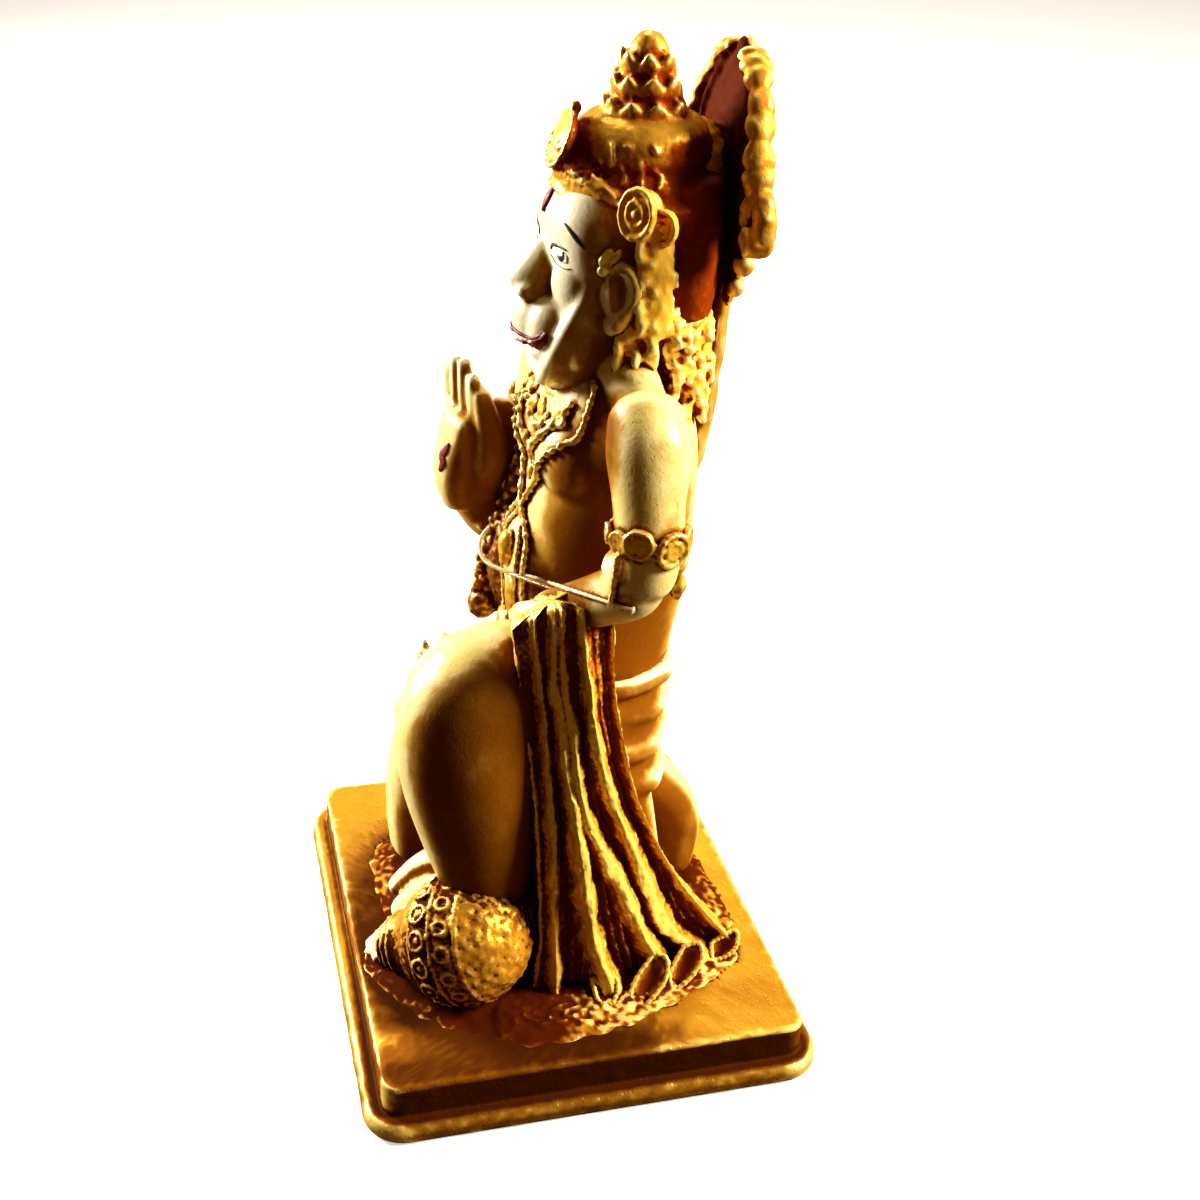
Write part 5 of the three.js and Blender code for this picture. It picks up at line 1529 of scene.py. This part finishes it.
@dataclass
class Shelter:
    """Measures how much of the sky round each point is closed off by the casting itself."""

    tree: BVHTree
    reach: float = 11.0
    rays: int = 12
    lift: float = 0.25

    def directions(self) -> Array:
        """Even directions over a half ball, weighted to its pole."""
        i = np.arange(self.rays)
        radius = np.sqrt((i + 0.5) / self.rays)
        angle = i * math.pi * (3 - math.sqrt(5))
        return np.stack([radius * np.cos(angle), radius * np.sin(angle), np.sqrt(1 - radius ** 2)], -1)

    def dress(self, piece: Piece) -> None:
        """Writes a piece's shelter and hollows into its attributes."""
        points, normals = points_of(piece), normals_of(piece)
        aside = np.where(np.abs(normals[:, 2:3]) < 0.9, [[0, 0, 1.0]], [[1.0, 0, 0]])
        side = unit(np.cross(normals, aside))
        up = np.cross(normals, side)
        closed = np.zeros(len(points))
        starts = [Vector(p) for p in points + normals * self.lift]
        cast, reach = self.tree.ray_cast, self.reach
        for dx, dy, dz in self.directions():
            heading = side * dx + up * dy + normals * dz
            hits = [cast(p, Vector(h), reach)[3] for p, h in zip(starts, heading)]
            closed += np.array([0.0 if d is None else 1 - d / reach for d in hits])
        write_attribute(piece, "shelter", closed / self.rays)
        write_attribute(piece, "hollow", hollow_of(piece, points, normals))


def hollow_of(piece: Piece, points: Array, normals: Array) -> Array:
    """How far each point lies under the mean of its surroundings, from -1 on a ridge to 1 in a groove."""
    mesh = piece.data
    edges = np.empty(len(mesh.edges) * 2, np.int64)
    mesh.edges.foreach_get("vertices", edges)
    a, b = edges.reshape(-1, 2).T
    mean = points.copy()
    degree = np.bincount(np.concatenate([a, b]), minlength=len(points)).clip(1)[:, None]
    for _ in range(5):
        total = np.zeros_like(mean)
        for k in range(3):
            total[:, k] = np.bincount(a, mean[b, k], len(points)) + np.bincount(b, mean[a, k], len(points))
        mean = 0.5 * mean + 0.5 * total / degree
    return np.clip(np.einsum("ij,ij->i", mean - points, normals) / 0.35, -1, 1)


# Finishes


class Nodes:
    """A small hand for wiring a node tree."""

    def __init__(self, tree: bpy.types.NodeTree) -> None:
        """Starts with an empty tree."""
        self.tree = tree

    def add(self, kind: str, inputs: dict | None = None, **settings: object) -> bpy.types.Node:
        """A node with its settings, and its inputs by name or number, each a value or a socket."""
        node = self.tree.nodes.new(kind)
        for key, value in settings.items():
            setattr(node, key, value)
        for key, value in (inputs or {}).items():
            socket = node.inputs[key]
            if isinstance(value, bpy.types.NodeSocket):
                self.tree.links.new(value, socket)
            else:
                socket.default_value = value
        return node

    def ramp(self, value: Socket, stops: Sequence[tuple[float, Row]]) -> Socket:
        """A colour ramp of two stops over a value."""
        node = self.add("ShaderNodeValToRGB", {"Fac": value})
        for element, (place, colour) in zip(node.color_ramp.elements, stops):
            element.position, element.color = place, (*colour, 1.0)
        return node.outputs["Color"]

    def mix(self, share: Socket, one: Socket | Row, two: Socket | Row) -> Socket:
        """Two colours mixed."""
        one, two = (tone if isinstance(tone, Socket) else (*tone, 1.0) for tone in (one, two))
        return self.add("ShaderNodeMix", {0: share, 6: one, 7: two}, data_type="RGBA").outputs[2]

    def sum(self, how: str, one: Socket | float, two: Socket | float) -> Socket:
        """Arithmetic on two numbers."""
        return self.add("ShaderNodeMath", {0: one, 1: two}, operation=how).outputs[0]

    def fit(self, value: Socket, low: Socket | float, high: Socket | float, to_low: float = 0.0,
            to_high: float = 1.0) -> Socket:
        """A number moved from one range to another, smoothly, and held inside it."""
        return self.add("ShaderNodeMapRange", {0: value, 1: low, 2: high, 3: to_low, 4: to_high},
                        interpolation_type="SMOOTHSTEP").outputs[0]

    def read(self, name: str) -> Socket:
        """An attribute of the piece."""
        return self.add("ShaderNodeAttribute", attribute_name=name).outputs["Fac"]

    def noise(self, scale: Socket | float, detail: float, roughness: float = 0.5) -> Socket:
        """Noise over the piece's own coordinates."""
        place = self.add("ShaderNodeTexCoord").outputs["Object"]
        return self.add("ShaderNodeTexNoise", {"Vector": place, "Scale": scale, "Detail": detail,
                                               "Roughness": roughness}).outputs["Fac"]


def new_group(name: str, takes: Sequence[str], gives: Sequence[str]) -> tuple[Nodes, bpy.types.bpy_prop_collection]:
    """An empty node group whose inputs and outputs are all numbers.

    Args:
        name: Its name.
        takes: The names of its inputs.
        gives: The names of its outputs.

    Returns:
        Its nodes, and the sockets that its inputs arrive by.
    """
    tree = bpy.data.node_groups.new(name, "ShaderNodeTree")
    for way, labels in (("INPUT", takes), ("OUTPUT", gives)):
        for label in labels:
            tree.interface.new_socket(label, in_out=way, socket_type="NodeSocketFloat")
    nodes = Nodes(tree)
    return nodes, nodes.add("NodeGroupInput").outputs


def make_wash_and_shade_group() -> None:
    """Brown wash where the casting is sheltered, which is patina in its hollows and also their painted shade, broken up
    by noise, and rubbed gilt on ridges that is also their painted highlight.
    """
    n, given = new_group("brown_wash_and_shade", ("Shelter", "Hollow", "Start", "End", "Blotch Scale", "Groove Strength"),
                         ("Wash And Shade", "Rubbed Highlight"))
    blotch = n.sum("SUBTRACT", n.noise(given["Blotch Scale"], 5.0, 0.6), 0.5)
    depth = n.sum("ADD", given["Shelter"], n.sum("MULTIPLY", given["Hollow"], given["Groove Strength"]))
    depth = n.sum("ADD", depth, n.sum("MULTIPLY", blotch, 0.35))
    n.add("NodeGroupOutput", {"Wash And Shade": n.fit(depth, given["Start"], given["End"]),
                              "Rubbed Highlight": n.fit(n.sum("MULTIPLY", given["Hollow"], -1.0), 0.12, 0.6)})


def make_skin_group() -> None:
    """The height of a brushed coat of paint over a casting: orange peel, brush marks and pits."""
    n, given = new_group("painted_casting", ("Coarse Scale", "Fine Scale", "Pits"), ("Height", "Mottle"))
    place = n.add("ShaderNodeTexCoord").outputs["Object"]
    coarse, fine = n.noise(given["Coarse Scale"], 4.0), n.noise(given["Fine Scale"], 3.0)
    cells = n.add("ShaderNodeTexVoronoi", {"Vector": place, "Scale": given["Fine Scale"]}).outputs["Distance"]
    pits = n.sum("MULTIPLY", n.fit(cells, 0.0, 0.35, 1.0, 0.0), given["Pits"])
    height = n.sum("SUBTRACT", n.sum("ADD", coarse, n.sum("MULTIPLY", fine, 0.5)), pits)
    n.add("NodeGroupOutput", {"Height": height, "Mottle": coarse})


def new_material(name: str) -> tuple[bpy.types.Material, Nodes]:
    """A new material, and its node tree made empty."""
    material = bpy.data.materials.new(name)
    material.use_nodes = True
    material.node_tree.nodes.clear()
    return material, Nodes(material.node_tree)


@dataclass(frozen=True)
class CastPaint:
    """A coat of gloss or metallic paint with a brown wash in the hollows of the casting that is also their painted
    shade, more painted shade where a piece's mask asks for it, and rubbed gilt on ridges that is also their painted
    highlight.
    """

    name: str
    light: Row
    dark: Row
    wash_and_shade: Row
    rubbed_highlight: Row
    metallic: float = 0.0
    roughness: float = 0.32
    coat: float = 0.3
    start: float = 0.18
    end: float = 0.6
    grooves: float = 0.25
    blotch: float = 90.0
    coarse: float = 140.0
    fine: float = 900.0
    pits: float = 0.3
    bump: float = 0.25
    specular: float = 0.5
    # How much the piece's mask of painted shade and wash darkens the paint.
    folds: float = 0.0
    # How strong the painted highlight is on crests, where that mask is lowest.
    crests: float = 0.0

    def make(self) -> bpy.types.Material:
        """The material."""
        material, n = new_material(self.name)
        groups = bpy.data.node_groups
        shelter = n.read("shelter")
        # Painted shade: the piece's mask adds to the shelter.
        if self.folds:
            shade_and_wash_mask = n.read("shade_and_wash_mask")
            shelter = n.sum("ADD", shelter, n.sum("MULTIPLY", shade_and_wash_mask, self.folds))
        wash_and_shade_node = n.add("ShaderNodeGroup", {"Shelter": shelter, "Hollow": n.read("hollow"), "Start": self.start,
                                           "End": self.end, "Blotch Scale": self.blotch,
                                           "Groove Strength": self.grooves}, node_tree=groups["brown_wash_and_shade"])
        wash_and_shade = wash_and_shade_node.outputs["Wash And Shade"]
        skin = n.add("ShaderNodeGroup", {"Coarse Scale": self.coarse, "Fine Scale": self.fine, "Pits": self.pits},
                     node_tree=groups["painted_casting"])
        tone = n.ramp(skin.outputs["Mottle"], ((0.3, self.dark), (0.7, self.light)))
        tone = n.mix(wash_and_shade_node.outputs["Rubbed Highlight"], tone, self.rubbed_highlight)
        # Painted highlight on the crests, where the mask is lowest.
        if self.crests:
            tone = n.mix(n.fit(shade_and_wash_mask, 0.14, 0.0, 0.0, self.crests), tone, self.rubbed_highlight)
        # The brown wash, which is also painted shade, darkens the paint halfway and then fully.
        halfway_wash_and_shade = tuple(math.sqrt(paint * brown) for paint, brown in zip(self.light, self.wash_and_shade))
        tone = n.mix(n.fit(wash_and_shade, 0.0, 0.5), tone, halfway_wash_and_shade)
        tone = n.mix(n.fit(wash_and_shade, 0.4, 1.0), tone, self.wash_and_shade)
        bump = n.add("ShaderNodeBump", {"Height": skin.outputs["Height"], "Strength": self.bump, "Distance": 0.0006})
        shader = n.add("ShaderNodeBsdfPrincipled", {
            "Base Color": tone,
            "Roughness": n.fit(wash_and_shade, 0.0, 1.0, self.roughness, self.roughness + 0.25),
            "Metallic": n.fit(wash_and_shade, 0.0, 1.0, self.metallic, self.metallic * 0.35),
            "Normal": bump.outputs[0],
            "Coat Weight": n.fit(wash_and_shade, 0.0, 0.5, self.coat, 0.0),
            "Coat Roughness": 0.18,
            "Specular IOR Level": n.fit(wash_and_shade, 0.0, 0.6, self.specular, 0.02)})
        n.add("ShaderNodeOutputMaterial", {"Surface": shader.outputs[0]})
        return material


CHEST_SHADE = ((29, 3, 150, 13, 1.6), (26, 3, 138, 14, 1.6), (24, 0, 124, 15, 1.3), (16, -8, 118, 12, 0.7),
               (27, -3, 110, 11, 1.1), (33, 3, 114, 8, 0.6), (-24, -12, 132, 10, 0.8), (-12, -6, 140, 9, 1.2),
               (-25, -12, 116, 7, 0.8))

# In each paint the wash colour is the brown of the wash, which also serves as painted shade; the rubbed colour is
# rubbed gilt that also serves as painted highlight; folds weighs the painted shade from the piece's mask, and crests
# the painted highlight on crests.
IVORY = CastPaint(
    "ivory_gloss_paint", light=(0.92, 0.79, 0.38), dark=(0.84, 0.64, 0.20), wash_and_shade=(0.22, 0.075, 0.004),
    rubbed_highlight=(0.97, 0.90, 0.60), metallic=0.0, roughness=0.34, coat=0.05, start=0.16, end=0.66, grooves=0.25,
    specular=0.3, folds=0.6)
FACE_PAINT = CastPaint(
    "face_gloss_paint", light=(0.90, 0.83, 0.60), dark=(0.87, 0.78, 0.50), wash_and_shade=(0.28, 0.11, 0.006),
    rubbed_highlight=(0.95, 0.88, 0.62), metallic=0.0, roughness=0.30, coat=0.2, start=0.22, end=0.66, grooves=0.2, specular=0.35,
    folds=0.48)
GOLD = CastPaint(
    "gold_paint", light=(0.90, 0.56, 0.07), dark=(0.66, 0.33, 0.03), wash_and_shade=(0.12, 0.020, 0.002),
    rubbed_highlight=(1.0, 0.82, 0.34), metallic=0.5, roughness=0.33, coat=0.1, start=0.10, end=0.46, grooves=0.45, specular=0.3)
CROWN_PAINT = CastPaint(
    "crown_paint", light=(0.86, 0.48, 0.06), dark=(0.55, 0.24, 0.02), wash_and_shade=(0.24, 0.036, 0.002),
    rubbed_highlight=(1.0, 0.80, 0.32), metallic=0.45, roughness=0.36, coat=0.0, start=0.12, end=0.50, grooves=0.5, specular=0.15,
    folds=0.5)
HAIR_PAINT = CastPaint(
    "hair_gold_paint", light=(1.0, 0.64, 0.09), dark=(0.82, 0.38, 0.03), wash_and_shade=(0.30, 0.045, 0.002),
    rubbed_highlight=(1.0, 0.85, 0.34), metallic=0.25, roughness=0.36, coat=0.0, start=0.18, end=0.56, grooves=0.6, specular=0.15)
HALO_PAINT = CastPaint(
    "halo_paint", light=(0.88, 0.50, 0.07), dark=(0.62, 0.28, 0.03), wash_and_shade=(0.085, 0.013, 0.0006),
    rubbed_highlight=(1.0, 0.80, 0.34), metallic=0.45, roughness=0.45, coat=0.0, start=0.12, end=0.40, grooves=0.4, specular=0.0,
    folds=0.85)
SHAWL_PAINT = CastPaint(
    "shawl_paint", light=(0.90, 0.56, 0.07), dark=(0.66, 0.30, 0.02), wash_and_shade=(0.25, 0.052, 0.0025),
    rubbed_highlight=(1.0, 0.74, 0.18), metallic=0.3, roughness=0.34, coat=0.0, start=0.22, end=0.80, grooves=0.5, bump=0.5,
    specular=0.15, folds=0.46, crests=0.85)
MACE_PAINT = CastPaint(
    "mace_paint", light=(0.72, 0.36, 0.035), dark=(0.42, 0.16, 0.010), wash_and_shade=(0.07, 0.014, 0.001),
    rubbed_highlight=(1.0, 0.76, 0.26), metallic=0.45, roughness=0.36, coat=0.0, start=0.06, end=0.34, grooves=0.8, specular=0.15,
    folds=0.55)
GROUND_PAINT = CastPaint(
    "ground_paint", light=(0.66, 0.34, 0.03), dark=(0.40, 0.14, 0.010), wash_and_shade=(0.09, 0.015, 0.001),
    rubbed_highlight=(1.0, 0.78, 0.28), metallic=0.3, roughness=0.40, coat=0.0, start=0.10, end=0.60, grooves=0.4, specular=0.10,
    folds=0.65, crests=0.8)
GARLAND_PAINT = CastPaint(
    "garland_red_paint", light=(0.34, 0.13, 0.008), dark=(0.17, 0.042, 0.002), wash_and_shade=(0.06, 0.010, 0.0005),
    rubbed_highlight=(0.95, 0.62, 0.16), metallic=0.3, roughness=0.35, coat=0.05, start=0.12, end=0.5, grooves=0.9, specular=0.15)
PLINTH_PAINT = CastPaint(
    "plinth_gold_paint", light=(0.74, 0.40, 0.03), dark=(0.40, 0.17, 0.009), wash_and_shade=(0.075, 0.019, 0.0015),
    rubbed_highlight=(1.0, 0.74, 0.20), metallic=0.4, roughness=0.36, coat=0.05, start=0.10, end=0.6, grooves=0.3, blotch=28.0,
    coarse=30.0, fine=700.0, pits=0.5, bump=0.3, specular=0.3, folds=0.6)
THREAD_GOLD = CastPaint(
    "thread_gold", light=(1.0, 0.86, 0.50), dark=(0.92, 0.72, 0.34), wash_and_shade=(0.6, 0.38, 0.12), rubbed_highlight=(1.0, 0.92, 0.66),
    metallic=0.4, roughness=0.3, coat=0.0, start=0.4, end=0.9)


@dataclass(frozen=True)
class BrushPaint:
    """Paint in a plain tone, thinner and lighter in places, for the marks on the face."""

    name: str
    tone: Row
    roughness: float = 0.3

    def make(self) -> bpy.types.Material:
        """The material."""
        material, n = new_material(self.name)
        grain = n.noise(900.0, 3.0)
        tone = n.ramp(grain, ((0.3, tuple(0.7 * c for c in self.tone)),
                              (0.75, tuple(min(1.0, 1.2 * c + 0.01) for c in self.tone))))
        rough = n.fit(grain, 0.2, 0.8, self.roughness, self.roughness + 0.15)
        shader = n.add("ShaderNodeBsdfPrincipled", {"Base Color": tone, "Roughness": rough, "Specular IOR Level": 0.3})
        n.add("ShaderNodeOutputMaterial", {"Surface": shader.outputs[0]})
        return material


LINE_BLACK = BrushPaint("line_black_paint", (0.012, 0.008, 0.006))
EYE_WHITE = BrushPaint("eye_white_paint", (0.86, 0.84, 0.78))
MARK_RED = BrushPaint("mark_red_paint", (0.20, 0.003, 0.008), 0.5)


def dress(piece: Piece, paint: CastPaint | BrushPaint) -> None:
    """Gives a piece one paint all over."""
    piece.data.materials.clear()
    piece.data.materials.append(bpy.data.materials.get(paint.name) or paint.make())
    piece.data.polygons.foreach_set("material_index", np.zeros(len(piece.data.polygons), np.int32))


# Studio


@dataclass
class Studio:
    """A pale floor, soft lights from both sides, and the camera where the photographer stood."""

    azimuth: float = 74.54
    elevation: float = 29.15
    roll: float = 2.41
    camera_place: Row = (367.46, -89.17, 321.64)
    lens: float = 51.0
    floor_side: float = 6.0
    aim: Row = (0, 0, 0.12)

    def axes(self) -> tuple[Array, Array, Array]:
        """Right, up and back as the camera sees them."""
        a, e, r = (math.radians(x) for x in (self.azimuth, self.elevation, self.roll))
        back = np.array([math.sin(a) * math.cos(e), -math.cos(a) * math.cos(e), math.sin(e)])
        right = np.array([math.cos(a), math.sin(a), 0])
        up = np.cross(back, right)
        return math.cos(r) * right + math.sin(r) * up, math.cos(r) * up - math.sin(r) * right, back

    def level(self) -> tuple[Array, Array]:
        """The camera's right and back, laid level."""
        right, _, back = self.axes()
        return unit(right * [1, 1, 0]), unit(back * [1, 1, 0])

    def sight(self, u: float, v: float) -> tuple[Array, Array]:
        """Where the line of sight through a pixel of the frame starts, and its direction, in millimetres."""
        right, up, back = self.axes()
        reach = self.lens * FRAME_PIXELS / SENSOR_WIDTH
        heading = right * (u - FRAME_PIXELS / 2) / reach - up * (v - FRAME_PIXELS / 2) / reach - back
        return np.asarray(self.camera_place, float) - TOP, unit(heading)

    def camera(self) -> None:
        """The camera."""
        bpy.ops.object.camera_add()
        camera = bpy.context.object
        camera.name = "camera"
        rows = np.stack([*self.axes(), np.asarray(self.camera_place, float) * MM], 1)
        camera.matrix_world = Matrix([*rows.tolist(), (0, 0, 0, 1)])
        camera.data.lens, camera.data.sensor_width = self.lens, SENSOR_WIDTH
        camera.data.clip_start, camera.data.clip_end = 0.02, 20
        bpy.context.scene.camera = camera

    def light(self, name: str, aside: float, above: float, towards: float, size: float, watts: float,
              tone: Row) -> None:
        """A square soft light that points at the figure.

        Args:
            name: Its name.
            aside: How far it stands to the camera's right, in metres.
            above: How far it stands up, in metres.
            towards: How far it stands towards the camera, level, in metres.
            size: Its side, in metres.
            watts: Its power.
            tone: Its colour.
        """
        right, back = self.level()
        place = right * aside + back * towards + [0, 0, above]
        bpy.ops.object.light_add(type="AREA", location=tuple(place))
        light = bpy.context.object
        light.name = name
        light.data.size, light.data.energy, light.data.color = size, watts, tone
        light.rotation_mode = "QUATERNION"
        light.rotation_quaternion = (Vector(place) - Vector(self.aim)).to_track_quat("Z", "Y")

    def floor(self) -> None:
        """The floor."""
        bpy.ops.mesh.primitive_plane_add(size=self.floor_side, location=(0, 0, 0))
        floor = bpy.context.object
        floor.name = "floor"
        material = bpy.data.materials.new("floor_white")
        material.use_nodes = True
        tree = material.node_tree
        n = Nodes(tree)
        seen = n.add("ShaderNodeLightPath").outputs["Is Camera Ray"]
        shader = tree.nodes["Principled BSDF"]
        tree.links.new(n.mix(seen, (0.05, 0.025, 0.004), (0.9, 0.9, 0.9)), shader.inputs["Base Color"])
        tree.links.new(n.sum("MULTIPLY", seen, 0.5), shader.inputs["Emission Strength"])
        shader.inputs["Emission Color"].default_value = (1, 1, 1, 1)
        shader.inputs["Roughness"].default_value = 0.9
        floor.data.materials.append(material)

    def world(self) -> None:
        """The surroundings: white to the camera, and bright at both sides of the figure to the light."""
        world = bpy.data.worlds.new("studio")
        bpy.context.scene.world = world
        world.use_nodes = True
        world.node_tree.nodes.clear()
        n = Nodes(world.node_tree)
        heading = n.add("ShaderNodeTexCoord").outputs["Generated"]
        right, back = self.level()
        side, away = (n.add("ShaderNodeVectorMath", {0: heading, 1: tuple(direction)},
                            operation="DOT_PRODUCT").outputs["Value"] for direction in (right, -back))
        lit = n.sum("MULTIPLY", n.fit(n.sum("ABSOLUTE", side, 0.0), 0.45, 0.95), n.fit(away, -0.05, 0.6))
        amount = n.sum("ADD", n.sum("MULTIPLY", lit, 0.8), 0.085)
        seen = n.add("ShaderNodeLightPath").outputs["Is Camera Ray"]
        strength = n.add("ShaderNodeMix", {0: seen, 2: amount, 3: 1.0}).outputs[0]
        tone = n.mix(seen, n.mix(lit, (1.0, 0.46, 0.04), (1.0, 0.85, 0.5)), (1, 1, 1))
        background = n.add("ShaderNodeBackground", {"Color": tone, "Strength": strength})
        n.add("ShaderNodeOutputWorld", {"Surface": background.outputs[0]})

    def build(self) -> None:
        """The camera, the floor, the surroundings and the lights."""
        self.camera()
        self.floor()
        self.world()
        self.light("light_left", -0.88, 0.42, -0.46, 0.3, 26, (1, 0.97, 0.90))
        self.light("light_right", 0.92, 0.62, 0.06, 0.3, 24, (1, 0.93, 0.76))
        self.light("light_top", -0.1, 1.1, -0.65, 0.4, 6, (1, 0.92, 0.72))
        view = bpy.context.scene.view_settings
        view.view_transform = "Standard"
        view.look = "Medium High Contrast"


def clear_scene() -> None:
    """Removes what a new file holds."""
    for thing in list(bpy.data.objects):
        bpy.data.objects.remove(thing)

def main() -> None:
    """Builds the figure and its studio, and reports each piece."""
    logging.basicConfig(level=logging.INFO, format="%(message)s")
    clear_scene()
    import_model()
    for thing in bpy.context.selected_objects:
        thing.select_set(False)
    studio = Studio()
    studio.build()
    make_wash_and_shade_group()
    make_skin_group()

    trunk, arms, legs = Trunk(), Arms(), Legs()
    torso = fused("torso_and_arms", [*trunk.build(), *arms.left(), *arms.right()], 0.95, 3)
    lower = fused("legs_and_loincloth", [*legs.left(), *legs.right(), *legs.cloth()], 1.0, 3)
    # Painted shade on the sides of the trunk, arms and legs, and pools of it on the chest, under the arms and on the
    # forearm.
    spray_painted_shade(torso, 0.25, 0.8, CHEST_SHADE, 0.5)
    spray_painted_shade(lower, 0.2, 0.74)
    head = Head().build()
    paint = FacePaint(Tracer(surface_tree([head, torso]), studio)).build()
    crown, medallions, halo = Crown().build(studio), Crown().medallions(), Halo().build()
    hair_and_tail = HairAndTail()
    tail, hair = hair_and_tail.tail(), hair_and_tail.locks()
    shawl, mace, ground = Shawl().build(), Mace().build(), Ground().build()
    hem = Shawl().hem(Tracer(surface_tree([shawl, ground]), studio, 0.1))
    jewels = Jewels(trunk, surface_tree([torso])).build()
    garland = Garland(trunk).build()
    plinth, thread = Plinth().build(), WaistThread().build()
    thread_end = WaistThread().end(Tracer(surface_tree([torso, lower, jewels, garland]), studio))

    dressed = [(torso, IVORY), (lower, IVORY), (head, FACE_PAINT), (crown, CROWN_PAINT), (medallions, HAIR_PAINT),
               (halo, HALO_PAINT), (tail, GOLD), (hair, HAIR_PAINT), (shawl, SHAWL_PAINT), (hem, SHAWL_PAINT),
               (mace, MACE_PAINT), (ground, GROUND_PAINT), (jewels, GOLD), (garland, GARLAND_PAINT),
               (plinth, PLINTH_PAINT), (thread, THREAD_GOLD), (thread_end, THREAD_GOLD)]
    shelter = Shelter(surface_tree([piece for piece, _ in dressed]), rays=12)
    LOG.info("modelled after %.0f s", time.process_time())
    for piece, _ in dressed:
        shelter.dress(piece)
    LOG.info("sheltered after %.0f s", time.process_time())
    dressed += [(paint["painted_lines"], LINE_BLACK), (paint["painted_whites"], EYE_WHITE),
                (paint["painted_reds"], MARK_RED)]
    for piece, finish in dressed:
        dress(piece, finish)
        smooth(piece)
        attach(piece, "root")
        LOG.info("%s: %d faces", piece.name, len(piece.data.polygons))
    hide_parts("figure")
    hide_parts("plinth")
    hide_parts("waist_thread")


if __name__ == "__main__":
    main()
